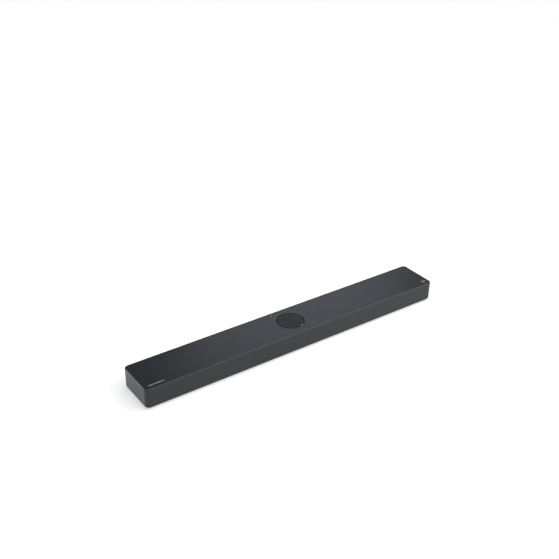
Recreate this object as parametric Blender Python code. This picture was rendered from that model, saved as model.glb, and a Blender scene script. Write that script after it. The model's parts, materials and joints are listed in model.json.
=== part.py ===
# Soundbar: a long low loudspeaker case. A grille wraps round its front and ends,
# a round up-firing speaker sits under a disc in the middle of the top, a row of
# small keys runs behind the disc, and the sockets sit in a bay at the back.
# Metres. +X runs along the bar, -Y is its front, +Z is up. The origin is under
# the middle of the bar, on the surface that the feet stand on.

import math

import bmesh
import bpy
from mathutils import Vector

for old in list(bpy.data.objects):
    bpy.data.objects.remove(old, do_unlink=True)

# Whole bar
BAR_LENGTH = 0.975
BAR_DEPTH = 0.125
BAR_HEIGHT = 0.063
FOOT_LIFT = 0.005
CORNER_RADIUS = 0.013
TOP_EDGE_RADIUS = 0.002
BOTTOM_EDGE_RADIUS = 0.004
GAP = 0.0003

# Walls and lips
GRILLE_WALL = 0.0012
REAR_WALL = 0.0025
CASE_WALL = 0.0025
RIM_WALL = 0.002
TOP_LIP = 0.004
BOTTOM_LIP = 0.010
TOP_GROOVE = 0.0008
BAFFLE_WALL = 0.003
BAFFLE_RIM = 0.0015
BAFFLE_POCKET = 0.007
BAFFLE_RIB = 0.004
END_FRAME_WALL = 0.008

# Centre disc
DISC_RADIUS = 0.0362
RING_WIDTH = 0.0032
RING_WALL = 0.0008
LENS_ANGLE = math.radians(-66)
LENS_SPREAD = math.radians(14)
LENS_WIDTH = 0.0014
LENS_DROP = 0.0002

# Keys
KEY_NAMES = ("power", "source", "pairing", "volume_down", "play", "volume_up", "sound_mode")
KEY_PITCH = 0.017
KEY_BACK_DISTANCE = 0.0145
KEY_RADIUS = 0.0036
KEY_FLANGE = 0.0012
KEY_STEM_RADIUS = 0.0015
KEY_STEM_LENGTH = 0.0026
KEY_TRAVEL = 0.0004
BOARD_WALL = 0.0016
CONTROL_BOARD_MARGIN = 0.013
CONTROL_BOARD_WIDTH = 0.014

# Speakers
UP_DRIVER = {
    "flange": 0.033, "straight": 0.0, "opening": 0.0285, "cone": 0.0215, "coil": 0.0105,
    "magnet": 0.0185, "depth": 0.031, "travel": 0.0025,
}
WOOFER = {
    "flange": 0.0225, "straight": 0.026, "opening": 0.0192, "cone": 0.0143, "coil": 0.0073,
    "magnet": 0.0140, "depth": 0.0200, "travel": 0.0025,
}
FLANGE_WALL = 0.002
BASKET_WALL = 0.001
CONE_WALL = 0.0008
COIL_WALL = 0.0006
COIL_CLEARANCE = 0.0007
SURROUND_WALL = 0.0007
TWEETER_FLANGE = 0.014
TWEETER_BODY = 0.012
TWEETER_DOME = 0.0100
TWEETER_DEPTH = 0.011
DRIVER_END_DISTANCE = 0.1575
TWEETER_SPACING = 0.085

# Connector bay and sockets
BAY_LENGTH = 0.220
BAY_HEIGHT = 0.033
BAY_DEPTH = 0.022
BAY_LIFT = 0.008
BAY_WALL = 0.002
SOCKET_WALL = 0.0012
SOCKET_PROUD = 0.001
AV_HOLLOW = (0.0152, 0.0056, 0.011)
AV_OUT_X = -0.090
AV_IN_X = -0.062
OPTICAL_HOLLOW = (0.0098, 0.0098, 0.010)
OPTICAL_X = -0.036
INLET_HOLLOW = (0.0165, 0.0090, 0.012)
INLET_X = 0.080
INLET_FLANGE = 0.003

# Boards and heatsink
BOARD_LIFT = 0.0065
MAIN_BOARD_SIZE = (0.170, 0.052)
MAIN_BOARD_X = -0.040
POWER_BOARD_SIZE = (0.130, 0.052)
POWER_BOARD_X = 0.118
HEATSINK_SIZE = (0.048, 0.036, 0.016)
HEATSINK_X = -0.098
HEATSINK_CLEARANCE = 0.0033
HEATSINK_FINS = 7
DISPLAY_BOARD_SIZE = (0.056, 0.014)

# Feet and screws
FOOT_SIZE = (0.036, 0.016)
FOOT_END_DISTANCE = 0.0925
FOOT_SIDE_DISTANCE = 0.0215
POST_RADIUS = 0.004
POST_END_DISTANCE = 0.0575
POST_SIDE_DISTANCE = 0.0275
SCREW_RADIUS = 0.0015
SCREW_HEAD_RADIUS = 0.0029
SCREW_HEAD_HEIGHT = 0.002
SCREW_LENGTH = 0.014
INSERT_RADIUS = 0.004
INSERT_BORE = 0.002
INSERT_LENGTH = 0.008
INSERT_END_DISTANCE = 0.1375

# Facets
CORNER_STEPS = 6
EDGE_STEPS = 3
DISC_SEGMENTS = 48
DRIVER_SEGMENTS = 14
POST_SEGMENTS = 12
DOME_STEPS = 3
SMALLEST = 0.0002

# Worked out from the sizes above
HALF_LENGTH = BAR_LENGTH / 2
HALF_DEPTH = BAR_DEPTH / 2
CASE_BASE = FOOT_LIFT
CASE_TOP = BAR_HEIGHT
SEAM_Y = HALF_DEPTH - CORNER_RADIUS
INNER_INSET = REAR_WALL + GAP
FLOOR_TOP = CASE_BASE + CASE_WALL
FLANGE_BASE = CASE_BASE + REAR_WALL + GAP
FLANGE_TOP = FLANGE_BASE + RIM_WALL
DECK_TOP = CASE_TOP - GRILLE_WALL - GAP
DECK_BASE = DECK_TOP - CASE_WALL
INSIDE_BASE = FLANGE_TOP + GAP
INSIDE_TOP = DECK_BASE - GAP
MIDDLE_Z = (INSIDE_BASE + INSIDE_TOP) / 2
BAFFLE_FRONT = -HALF_DEPTH + GRILLE_WALL + GAP
BAFFLE_FACE = BAFFLE_FRONT + BAFFLE_POCKET
BAFFLE_BACK = BAFFLE_FACE + BAFFLE_WALL
DRIVER_X = HALF_LENGTH - DRIVER_END_DISTANCE
TWEETER_X = DRIVER_X - TWEETER_SPACING
WOOFER_HALF = WOOFER["straight"] + WOOFER["flange"]
DISC_HOLE_RADIUS = DISC_RADIUS + RING_WIDTH + 2 * GAP
RIB_X = (DRIVER_X - WOOFER_HALF + TWEETER_X + TWEETER_FLANGE) / 2
DISPLAY_X = (WOOFER_HALF + TWEETER_X - TWEETER_FLANGE) / 2
KEY_Y = HALF_DEPTH - KEY_BACK_DISTANCE
KEY_ROW_HALF = KEY_PITCH * (len(KEY_NAMES) - 1) / 2
KEY_FLANGE_TOP = DECK_BASE - GAP
KEY_STEM_END = KEY_FLANGE_TOP - KEY_FLANGE - KEY_STEM_LENGTH
CONTROL_BOARD_TOP = KEY_STEM_END - KEY_TRAVEL - GAP
BAY_BASE = CASE_BASE + BAY_LIFT
BAY_FLOOR_Y = HALF_DEPTH - BAY_DEPTH
BOARD_BASE = FLOOR_TOP + BOARD_LIFT
BOARD_TOP = BOARD_BASE + BOARD_WALL
BOARD_BACK = BAY_FLOOR_Y - BAY_WALL - GAP
BOARD_Y = BOARD_BACK - MAIN_BOARD_SIZE[1] / 2
SOCKET_FRONT = BAY_FLOOR_Y + SOCKET_PROUD
SOCKET_BACK = SOCKET_FRONT - AV_HOLLOW[2] - SOCKET_WALL
HEATSINK_Y = SOCKET_BACK - HEATSINK_CLEARANCE - HEATSINK_SIZE[1] / 2

SIDES = (("left", -1), ("right", 1))
PLACES = (("left", -1), ("centre", 0), ("right", 1))


def material(name, colour, roughness, metallic=0.0):
    made = bpy.data.materials.get(name)
    if made is None:
        made = bpy.data.materials.new(name)
        made.use_nodes = True
        shader = made.node_tree.nodes["Principled BSDF"]
        shader.inputs["Base Color"].default_value = (*colour, 1.0)
        shader.inputs["Roughness"].default_value = roughness
        shader.inputs["Metallic"].default_value = metallic
        made.diffuse_color = (*colour, 1.0)
    return made


def finish(name, shape, surface, location=(0, 0, 0), rotation=(0, 0, 0)):
    # Turns a bmesh into a named object with outward faces and smooth round sides
    bmesh.ops.recalc_face_normals(shape, faces=shape.faces)
    mesh = bpy.data.meshes.new(name)
    shape.to_mesh(mesh)
    shape.free()
    mesh.shade_smooth()
    mesh.set_sharp_from_angle(angle=math.radians(35))
    made = bpy.data.objects.new(name, mesh)
    bpy.context.scene.collection.objects.link(made)
    made.location = location
    made.rotation_euler = rotation
    if surface is not None:
        mesh.materials.append(surface)
    return made


def combine(target, shape, operation, label):
    # Cuts the shape from the target or adds it, with a hidden tool object
    tool = finish(target.name + "_" + label, shape, None)
    tool.hide_render = True
    tool.display_type = "WIRE"
    modifier = target.modifiers.new(label, "BOOLEAN")
    modifier.operation = operation
    modifier.solver = "EXACT"
    modifier.object = tool


def loft(shape, rings, looped=False):
    # Skins a row of equal rings; a looped row closes on itself, others are capped
    rows = [[shape.verts.new(point) for point in ring] for ring in rings]
    pairs = list(zip(rows, rows[1:]))
    if looped:
        pairs.append((rows[-1], rows[0]))
    else:
        shape.faces.new(rows[0])
        shape.faces.new(rows[-1])
    for first, second in pairs:
        for index in range(len(first)):
            after = (index + 1) % len(first)
            shape.faces.new((first[index], first[after], second[after], second[index]))


def box(shape, low, high):
    corners = [(low[0], low[1]), (high[0], low[1]), (high[0], high[1]), (low[0], high[1])]
    loft(shape, [[Vector((x, y, z)) for x, y in corners] for z in (low[2], high[2])])


def racetrack(radius, straight, height, segments):
    # One ring at a height: a circle, or two half circles with a straight between
    ring = []
    for step in range(segments):
        angle = (step + 0.5) * 2 * math.pi / segments
        shift = math.copysign(straight, math.cos(angle))
        ring.append(Vector((shift + radius * math.cos(angle), radius * math.sin(angle), height)))
    return ring


def turned(shape, profile, segments, centre=(0, 0), looped=False):
    # A body of revolution, or of a racetrack, from (radius, straight, height) points
    rings = []
    for radius, straight, height in profile:
        ring = racetrack(radius, straight, height, segments)
        rings.append([point + Vector((centre[0], centre[1], 0)) for point in ring])
    loft(shape, rings, looped)


def peg(shape, radius, low, high, centre, segments=POST_SEGMENTS):
    turned(shape, [(radius, 0, low), (radius, 0, high)], segments, centre)


def arc(centre, radii, start, end, steps):
    points = []
    for step in range(steps + 1):
        angle = math.radians(start + (end - start) * step / steps)
        points.append((centre[0] + radii[0] * math.cos(angle), centre[1] + radii[1] * math.sin(angle)))
    return points


def corner(inset, side_x, side_y, start):
    # Plan of one rounded corner of the bar, moved inwards by the inset
    radius = max(CORNER_RADIUS - inset, SMALLEST)
    centre = (side_x * (HALF_LENGTH - inset - radius), side_y * (HALF_DEPTH - inset - radius))
    return arc(centre, (radius, radius), start, start + 90, CORNER_STEPS)


def front_plan(inset):
    points = [(-HALF_LENGTH + inset, SEAM_Y)]
    points += corner(inset, -1, -1, 180)
    points += corner(inset, 1, -1, 270)
    return points + [(HALF_LENGTH - inset, SEAM_Y)]


def rear_plan(inset):
    start_y = SEAM_Y + GAP
    points = [(HALF_LENGTH - inset, start_y)]
    points += [(x, max(y, start_y)) for x, y in corner(inset, 1, 1, 0)[1:]]
    points += [(x, max(y, start_y)) for x, y in corner(inset, -1, 1, 90)[:-1]]
    return points + [(-HALF_LENGTH + inset, start_y)]


def full_ring(inset, height):
    plan = corner(inset, -1, -1, 180) + corner(inset, 1, -1, 270)
    plan += corner(inset, 1, 1, 0) + corner(inset, -1, 1, 90)
    return [Vector((x, y, height)) for x, y in plan]


def rim_profile(side_wall):
    # Section of the outer skin, as (inset, height): lip under the case, rounded
    # lower edge, side, rounded upper edge, lip on the top, and back along the inside
    low, high = CASE_BASE, CASE_TOP
    below = max(BOTTOM_EDGE_RADIUS - side_wall, SMALLEST), max(BOTTOM_EDGE_RADIUS - GRILLE_WALL, SMALLEST)
    above = max(TOP_EDGE_RADIUS - side_wall, SMALLEST), max(TOP_EDGE_RADIUS - GRILLE_WALL, SMALLEST)
    bottom = (BOTTOM_EDGE_RADIUS, BOTTOM_EDGE_RADIUS)
    top = (TOP_EDGE_RADIUS, TOP_EDGE_RADIUS)
    points = [(BOTTOM_LIP, low)]
    points += arc((bottom[0], low + bottom[1]), bottom, 270, 180, EDGE_STEPS)
    points += arc((top[0], high - top[1]), top, 180, 90, EDGE_STEPS)
    points += [(TOP_LIP, high), (TOP_LIP, high - GRILLE_WALL)]
    points += arc((side_wall + above[0], high - GRILLE_WALL - above[1]), above, 90, 180, EDGE_STEPS)
    points += arc((side_wall + below[0], low + GRILLE_WALL + below[1]), below, 180, 270, EDGE_STEPS)
    return points + [(BOTTOM_LIP, low + GRILLE_WALL)]


def swept_skin(plan, side_wall):
    # The rim section carried along a plan line that follows the bar's outline
    profile = rim_profile(side_wall)
    columns = [[Vector((x, y, height)) for x, y in plan(inset)] for inset, height in profile]
    shape = bmesh.new()
    loft(shape, [list(station) for station in zip(*columns)])
    return shape


def key_places():
    for index, name in enumerate(KEY_NAMES):
        yield name, index * KEY_PITCH - KEY_ROW_HALF


def post_places():
    for side_x in (-1, 1):
        for side_y in (-1, 1):
            yield side_x * (HALF_LENGTH - POST_END_DISTANCE), side_y * (HALF_DEPTH - POST_SIDE_DISTANCE)


def board_post_places():
    for board_x, size in ((MAIN_BOARD_X, MAIN_BOARD_SIZE), (POWER_BOARD_X, POWER_BOARD_SIZE)):
        for side_x in (-1, 1):
            for side_y in (-1, 1):
                yield (board_x + side_x * (size[0] / 2 - POST_RADIUS),
                       BOARD_Y + side_y * (size[1] / 2 - POST_RADIUS))


def insert_places():
    for name, side in SIDES:
        yield name, side * (HALF_LENGTH - INSERT_END_DISTANCE)


def peg_along_y(shape, radius, low, high, x, bore=0.0):
    # A round peg, or a tube when it has a bore, lying along Y at mid height
    rings = []
    profile = [(radius, low), (radius, high)]
    if bore:
        profile += [(bore, high), (bore, low)]
    for ring_radius, y in profile:
        flat = racetrack(ring_radius, 0, y, POST_SEGMENTS)
        rings.append([Vector((x + point.x, point.z, MIDDLE_Z + point.y)) for point in flat])
    loft(shape, rings, looped=bool(bore))


def add_hole_along_y(shape, radius, straight, x):
    rings = []
    for y in (BAFFLE_FACE - BAFFLE_WALL / 2, BAFFLE_BACK + BAFFLE_WALL / 2):
        flat = racetrack(radius, straight, y, DRIVER_SEGMENTS)
        rings.append([Vector((x + point.x, point.z, MIDDLE_Z + point.y)) for point in flat])
    loft(shape, rings)


def make_front_grille():
    surface = material("painted_mesh", (0.062, 0.066, 0.074), 0.55, 0.3)
    finish("front_grille", swept_skin(front_plan, GRILLE_WALL), surface)


def make_rear_cover():
    cover = finish("rear_cover", swept_skin(rear_plan, REAR_WALL),
                   material("rear_plastic", (0.020, 0.021, 0.023), 0.6))
    sockets = bmesh.new()
    for _, x in insert_places():
        peg_along_y(sockets, INSERT_RADIUS + 2 * BAY_WALL, HALF_DEPTH - INSERT_LENGTH - BAY_WALL,
                    HALF_DEPTH - REAR_WALL / 2, x)
    combine(cover, sockets, "UNION", "bosses")
    cuts = bmesh.new()
    box(cuts, (-BAY_LENGTH / 2, BAY_FLOOR_Y, BAY_BASE),
        (BAY_LENGTH / 2, HALF_DEPTH + REAR_WALL, BAY_BASE + BAY_HEIGHT))
    for _, x in insert_places():
        peg_along_y(cuts, INSERT_RADIUS + GAP, HALF_DEPTH - INSERT_LENGTH - GAP, HALF_DEPTH + REAR_WALL, x)
    combine(cover, cuts, "DIFFERENCE", "openings")


def make_inserts():
    for name, x in insert_places():
        shape = bmesh.new()
        peg_along_y(shape, INSERT_RADIUS, HALF_DEPTH - INSERT_LENGTH, HALF_DEPTH - GAP, x, INSERT_BORE)
        finish("bracket_insert_" + name, shape, material("brass", (0.55, 0.40, 0.16), 0.35, 1.0))


def make_bottom_cover():
    lip_inset = BOTTOM_LIP + GAP
    inside = lip_inset + CASE_WALL
    shape = bmesh.new()
    loft(shape, [full_ring(lip_inset, CASE_BASE), full_ring(lip_inset, FLANGE_BASE),
                 full_ring(INNER_INSET, FLANGE_BASE), full_ring(INNER_INSET, FLANGE_TOP),
                 full_ring(inside, FLANGE_TOP), full_ring(inside, FLOOR_TOP)])
    cover = finish("bottom_cover", shape, material("case_plastic", (0.016, 0.017, 0.019), 0.6))
    posts = bmesh.new()
    for place in post_places():
        peg(posts, POST_RADIUS + CASE_WALL / 2, FLOOR_TOP - CASE_WALL / 2, FLANGE_TOP, place)
    for place in board_post_places():
        peg(posts, POST_RADIUS, FLOOR_TOP - CASE_WALL / 2, BOARD_BASE - GAP, place)
    combine(cover, posts, "UNION", "posts")
    holes = bmesh.new()
    pocket = SCREW_HEAD_HEIGHT + 2 * GAP
    for place in post_places():
        turned(holes, [(SCREW_HEAD_RADIUS + GAP, 0, CASE_BASE - CASE_WALL),
                       (SCREW_HEAD_RADIUS + GAP, 0, CASE_BASE + pocket),
                       (SCREW_RADIUS + GAP, 0, CASE_BASE + pocket),
                       (SCREW_RADIUS + GAP, 0, FLANGE_TOP + CASE_WALL)], POST_SEGMENTS, place)
    combine(cover, holes, "DIFFERENCE", "holes")


def make_screws():
    head_base = CASE_BASE + GAP
    head_top = head_base + SCREW_HEAD_HEIGHT
    for index, place in enumerate(post_places(), start=1):
        shape = bmesh.new()
        turned(shape, [(SCREW_HEAD_RADIUS, 0, head_base), (SCREW_HEAD_RADIUS, 0, head_top),
                       (SCREW_RADIUS, 0, head_top), (SCREW_RADIUS, 0, head_base + SCREW_LENGTH)],
               POST_SEGMENTS, place)
        finish("case_screw_" + str(index), shape, material("screw_steel", (0.05, 0.05, 0.055), 0.4, 1.0))


def make_top_case():
    # The deck that carries the up-firing speakers, with posts down to the floor
    shape = bmesh.new()
    loft(shape, [full_ring(INNER_INSET, DECK_BASE), full_ring(INNER_INSET, DECK_TOP)])
    deck = finish("top_case", shape, material("deck_plastic", (0.018, 0.019, 0.021), 0.6))
    posts = bmesh.new()
    for place in post_places():
        peg(posts, POST_RADIUS, INSIDE_BASE, DECK_BASE + CASE_WALL / 2, place)
    for side in (-1, 1):
        boss_x = side * (KEY_ROW_HALF + CONTROL_BOARD_MARGIN - POST_RADIUS)
        peg(posts, POST_RADIUS / 2, CONTROL_BOARD_TOP + GAP, DECK_BASE + CASE_WALL / 2, (boss_x, KEY_Y))
    combine(deck, posts, "UNION", "posts")
    holes = bmesh.new()
    for _, side in PLACES:
        peg(holes, UP_DRIVER["opening"] + GAP, DECK_BASE - CASE_WALL, CASE_TOP,
            (side * DRIVER_X, 0), 2 * DRIVER_SEGMENTS)
    for _, x in key_places():
        peg(holes, KEY_RADIUS + GAP, DECK_BASE - CASE_WALL, CASE_TOP, (x, KEY_Y))
    for place in post_places():
        peg(holes, SCREW_RADIUS + GAP, CASE_BASE, CASE_BASE + SCREW_LENGTH + CASE_WALL, place)
    combine(deck, holes, "DIFFERENCE", "holes")


def make_top_panel():
    # The thin skin of the top, inside the groove that runs round the whole bar
    edge = TOP_LIP + TOP_GROOVE
    low = CASE_TOP - GRILLE_WALL
    shape = bmesh.new()
    loft(shape, [full_ring(edge, low), full_ring(edge, CASE_TOP - SMALLEST),
                 full_ring(edge + SMALLEST, CASE_TOP)])
    panel = finish("top_panel", shape, material("painted_mesh", (0.062, 0.066, 0.074), 0.55, 0.3))
    holes = bmesh.new()
    peg(holes, DISC_HOLE_RADIUS, DECK_BASE, CASE_TOP + GRILLE_WALL, (0, 0), DISC_SEGMENTS)
    for _, x in key_places():
        peg(holes, KEY_RADIUS + GAP, DECK_BASE, CASE_TOP + GRILLE_WALL, (x, KEY_Y))
    combine(panel, holes, "DIFFERENCE", "holes")


def lens_block(shape, widen, low, high):
    # A short curved bar that follows the ring, as four-sided sections along an arc
    middle = (DISC_HOLE_RADIUS + DISC_RADIUS) / 2
    inner, outer = middle - LENS_WIDTH / 2 - widen, middle + LENS_WIDTH / 2 + widen
    reach = LENS_SPREAD / 2 + widen / middle
    sections = []
    for step in range(CORNER_STEPS + 1):
        angle = LENS_ANGLE + reach * (2 * step / CORNER_STEPS - 1)
        across = ((inner, low), (outer, low), (outer, high), (inner, high))
        sections.append([Vector((r * math.cos(angle), r * math.sin(angle), z)) for r, z in across])
    loft(shape, sections)


def make_centre_disc():
    low = CASE_TOP - GRILLE_WALL
    ring_top = low + RING_WALL
    shape = bmesh.new()
    outer, inner = DISC_HOLE_RADIUS - GAP, DISC_RADIUS + GAP
    turned(shape, [(outer, 0, low), (outer, 0, ring_top), (inner, 0, ring_top), (inner, 0, low)],
           DISC_SEGMENTS, looped=True)
    ring = finish("centre_ring", shape, material("ring_plastic", (0.012, 0.012, 0.014), 0.4))
    notch = bmesh.new()
    lens_block(notch, GAP, low - GRILLE_WALL, CASE_TOP)
    combine(ring, notch, "DIFFERENCE", "notch")
    shape = bmesh.new()
    lens_block(shape, 0, low, CASE_TOP - LENS_DROP)
    finish("status_lens", shape, material("lens_plastic", (0.55, 0.57, 0.60), 0.3))
    shape = bmesh.new()
    turned(shape, [(DISC_RADIUS, 0, low), (DISC_RADIUS, 0, CASE_TOP - SMALLEST),
                   (DISC_RADIUS - SMALLEST, 0, CASE_TOP)], DISC_SEGMENTS)
    finish("centre_grille", shape, material("disc_mesh", (0.042, 0.043, 0.050), 0.7, 0.2))


def make_keys():
    surface = material("key_plastic", (0.062, 0.066, 0.074), 0.5)
    flange_base = KEY_FLANGE_TOP - KEY_FLANGE
    for name, x in key_places():
        shape = bmesh.new()
        heights = (KEY_STEM_END, flange_base, KEY_FLANGE_TOP, CASE_TOP)
        stem, flange, gap_top, top = [height - CASE_TOP for height in heights]
        turned(shape, [(KEY_STEM_RADIUS, 0, stem), (KEY_STEM_RADIUS, 0, flange),
                       (KEY_RADIUS + KEY_FLANGE, 0, flange), (KEY_RADIUS + KEY_FLANGE, 0, gap_top),
                       (KEY_RADIUS, 0, gap_top), (KEY_RADIUS, 0, top - SMALLEST),
                       (KEY_RADIUS - SMALLEST, 0, top)], POST_SEGMENTS)
        finish("key_" + name, shape, surface, (x, KEY_Y, CASE_TOP))
    half = KEY_ROW_HALF + CONTROL_BOARD_MARGIN
    board = bmesh.new()
    box(board, (-half, KEY_Y - CONTROL_BOARD_WIDTH / 2, CONTROL_BOARD_TOP - BOARD_WALL),
        (half, KEY_Y + CONTROL_BOARD_WIDTH / 2, CONTROL_BOARD_TOP))
    finish("control_board", board, material("board_green", (0.02, 0.10, 0.05), 0.5))


def make_front_baffle():
    half = HALF_LENGTH - CORNER_RADIUS
    shape = bmesh.new()
    box(shape, (-half, BAFFLE_FRONT, INSIDE_BASE), (half, BAFFLE_BACK, INSIDE_TOP))
    baffle = finish("front_baffle", shape, material("baffle_plastic", (0.015, 0.015, 0.017), 0.7))
    cuts = bmesh.new()
    rib = BAFFLE_RIB / 2
    pockets = ((-half + BAFFLE_RIB, -RIB_X - rib), (-RIB_X + rib, RIB_X - rib), (RIB_X + rib, half - BAFFLE_RIB))
    for start, end in pockets:
        box(cuts, (start, BAFFLE_FRONT - BAFFLE_WALL, INSIDE_BASE + BAFFLE_RIM),
            (end, BAFFLE_FACE, INSIDE_TOP - BAFFLE_RIM))
    combine(baffle, cuts, "DIFFERENCE", "pockets")
    holes = bmesh.new()
    for _, side in PLACES:
        radius = WOOFER["opening"] + BASKET_WALL + GAP
        add_hole_along_y(holes, radius, WOOFER["straight"], side * DRIVER_X)
    for _, side in SIDES:
        add_hole_along_y(holes, TWEETER_BODY + GAP, 0, side * TWEETER_X)
    combine(baffle, holes, "DIFFERENCE", "holes")


def make_end_frames():
    surface = material("frame_plastic", (0.018, 0.018, 0.020), 0.7)
    outer = HALF_LENGTH - GRILLE_WALL - GAP
    reach = SEAM_Y - GAP
    for name, side in SIDES:
        shape = bmesh.new()
        ends = sorted((side * outer, side * (outer - END_FRAME_WALL)))
        box(shape, (ends[0], -reach, INSIDE_BASE), (ends[1], reach, INSIDE_TOP))
        finish("end_frame_" + name, shape, surface)


def driver_levels(driver):
    # Heights inside one speaker, from its flange's back face at zero
    back = FLANGE_WALL - driver["depth"]
    neck = -0.36 * driver["depth"]
    coil_end = back + COIL_WALL + driver["travel"] + 2 * COIL_CLEARANCE
    return back, neck, coil_end


def make_driver(name, driver, location, rotation):
    straight = driver["straight"]
    opening, cone, coil, magnet = driver["opening"], driver["cone"], driver["coil"], driver["magnet"]
    back, neck, coil_end = driver_levels(driver)
    shell = opening + BASKET_WALL
    gap_bottom = back + COIL_WALL
    plate = neck - driver["travel"] - 2 * CONE_WALL
    pole = coil - COIL_WALL - COIL_CLEARANCE
    pole_top = plate
    shape = bmesh.new()
    turned(shape, [(pole / 2, 0, pole_top), (pole, 0, pole_top), (pole, 0, gap_bottom),
                   (coil + COIL_CLEARANCE, 0, gap_bottom), (coil + COIL_CLEARANCE, 0, plate),
                   (magnet - BASKET_WALL, 0, plate), (opening, straight, -FLANGE_WALL),
                   (opening, straight, FLANGE_WALL), (driver["flange"], straight, FLANGE_WALL),
                   (driver["flange"], straight, 0), (shell, straight, 0),
                   (shell, straight, -FLANGE_WALL - BASKET_WALL), (magnet, 0, plate - BASKET_WALL),
                   (magnet, 0, back), (magnet / 2, 0, back)], DRIVER_SEGMENTS)
    finish(name + "_frame", shape, material("basket_steel", (0.10, 0.10, 0.11), 0.45, 0.8), location, rotation)
    shape = bmesh.new()
    cap = neck + 0.35 * coil
    turned(shape, [(coil / 4, 0, cap), (0.7 * coil, 0, neck + 0.2 * coil), (coil, 0, neck),
                   (cone, straight, CONE_WALL), (cone, straight, 0),
                   (coil, 0, neck - 1.5 * CONE_WALL), (coil, 0, coil_end),
                   (coil - COIL_WALL, 0, coil_end), (coil - COIL_WALL, 0, neck - CONE_WALL),
                   (0.6 * coil, 0, neck + 0.2 * coil - CONE_WALL), (coil / 4, 0, cap - CONE_WALL)],
           DRIVER_SEGMENTS)
    finish(name + "_cone", shape, material("cone_paper", (0.03, 0.03, 0.033), 0.8), location, rotation)
    shape = bmesh.new()
    inner, outer = cone + GAP, opening - GAP
    middle, reach = (inner + outer) / 2, (outer - inner) / 2
    upper = arc((middle, 0), (reach, reach * 0.7), 180, 0, EDGE_STEPS)
    lower = arc((middle, -SURROUND_WALL), (reach, reach * 0.7), 0, 180, EDGE_STEPS)
    turned(shape, [(radius, straight, height) for radius, height in upper + lower],
           DRIVER_SEGMENTS, looped=True)
    finish(name + "_surround", shape, material("surround_rubber", (0.01, 0.01, 0.011), 0.9), location, rotation)


def make_tweeter(name, location, rotation):
    hollow = TWEETER_DOME + GAP
    floor = -0.6 * TWEETER_DEPTH
    coil = 0.9 * TWEETER_DOME
    pole = coil - COIL_WALL - COIL_CLEARANCE
    back = FLANGE_WALL - TWEETER_DEPTH
    shape = bmesh.new()
    turned(shape, [(pole / 2, 0, floor / 3), (pole, 0, floor / 3), (pole, 0, floor), (hollow, 0, floor),
                   (hollow, 0, FLANGE_WALL), (TWEETER_FLANGE, 0, FLANGE_WALL), (TWEETER_FLANGE, 0, 0),
                   (TWEETER_BODY, 0, 0), (TWEETER_BODY, 0, back), (pole / 2, 0, back)], DRIVER_SEGMENTS)
    finish(name + "_body", shape, material("tweeter_plastic", (0.02, 0.02, 0.022), 0.5), location, rotation)
    rise = 0.3 * TWEETER_DOME
    steps = [(step + 1) / (DOME_STEPS + 1) for step in range(DOME_STEPS + 1)]
    dome = [(share * TWEETER_DOME, rise * (1 - share ** 2)) for share in steps]
    shape = bmesh.new()
    outer = [(radius, 0, COIL_WALL + height) for radius, height in dome]
    inner = [(radius, 0, height) for radius, height in reversed(dome[:-2])]
    turned(shape, outer + [(TWEETER_DOME, 0, -COIL_WALL), (coil, 0, -COIL_WALL), (coil, 0, floor / 2),
                           (coil - COIL_WALL, 0, floor / 2), (coil - COIL_WALL, 0, 0)] + inner,
           DRIVER_SEGMENTS)
    finish(name + "_dome", shape, material("dome_silk", (0.02, 0.02, 0.024), 0.6), location, rotation)


def make_speakers():
    facing_front = (math.pi / 2, 0, 0)
    for name, side in PLACES:
        make_driver("up_speaker_" + name, UP_DRIVER, (side * DRIVER_X, 0, DECK_BASE - GAP - FLANGE_WALL),
                    (0, 0, 0))
        make_driver("woofer_" + name, WOOFER, (side * DRIVER_X, BAFFLE_FACE - GAP, MIDDLE_Z), facing_front)
    for name, side in SIDES:
        make_tweeter("tweeter_" + name, (side * TWEETER_X, BAFFLE_FACE - GAP, MIDDLE_Z), facing_front)


def socket_list():
    # Name, place along the bar, size of the hollow, and its surface
    metal = material("socket_metal", (0.5, 0.5, 0.52), 0.3, 1.0)
    plastic = material("socket_plastic", (0.02, 0.02, 0.02), 0.5)
    return (
        ("av_out_socket", AV_OUT_X, AV_HOLLOW, metal),
        ("av_in_socket", AV_IN_X, AV_HOLLOW, metal),
        ("optical_socket", OPTICAL_X, OPTICAL_HOLLOW, plastic),
    )


def make_connector_bay():
    surface = material("tray_plastic", (0.014, 0.014, 0.015), 0.6)
    outside_x = BAY_LENGTH / 2 - GAP
    low_z, high_z = BAY_BASE + GAP, BAY_BASE + BAY_HEIGHT - GAP
    shape = bmesh.new()
    box(shape, (-outside_x, BAY_FLOOR_Y - BAY_WALL, low_z), (outside_x, HALF_DEPTH - GAP, high_z))
    tray = finish("connector_tray", shape, surface)
    cuts = bmesh.new()
    box(cuts, (-outside_x + BAY_WALL, BAY_FLOOR_Y, low_z + BAY_WALL),
        (outside_x - BAY_WALL, HALF_DEPTH + BAY_WALL, high_z - BAY_WALL))
    combine(tray, cuts, "DIFFERENCE", "inside")
    holes = bmesh.new()
    for _, x, (width, height, _), _ in socket_list():
        half = width / 2 + SOCKET_WALL + GAP
        base = BOARD_TOP
        box(holes, (x - half, BAY_FLOOR_Y - 2 * BAY_WALL, base),
            (x + half, BAY_FLOOR_Y + BAY_WALL / 2, base + height + 2 * SOCKET_WALL + 2 * GAP))
    half, low, high = inlet_outside()
    box(holes, (INLET_X - half - GAP, BAY_FLOOR_Y - 2 * BAY_WALL, low - GAP),
        (INLET_X + half + GAP, BAY_FLOOR_Y + BAY_WALL / 2, high + GAP))
    combine(tray, holes, "DIFFERENCE", "socket_holes")


def inlet_outside():
    middle = BAY_BASE + BAY_HEIGHT / 2
    half_width = INLET_HOLLOW[0] / 2 + SOCKET_WALL
    half_height = INLET_HOLLOW[1] / 2 + SOCKET_WALL
    return half_width, middle - half_height, middle + half_height


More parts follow.
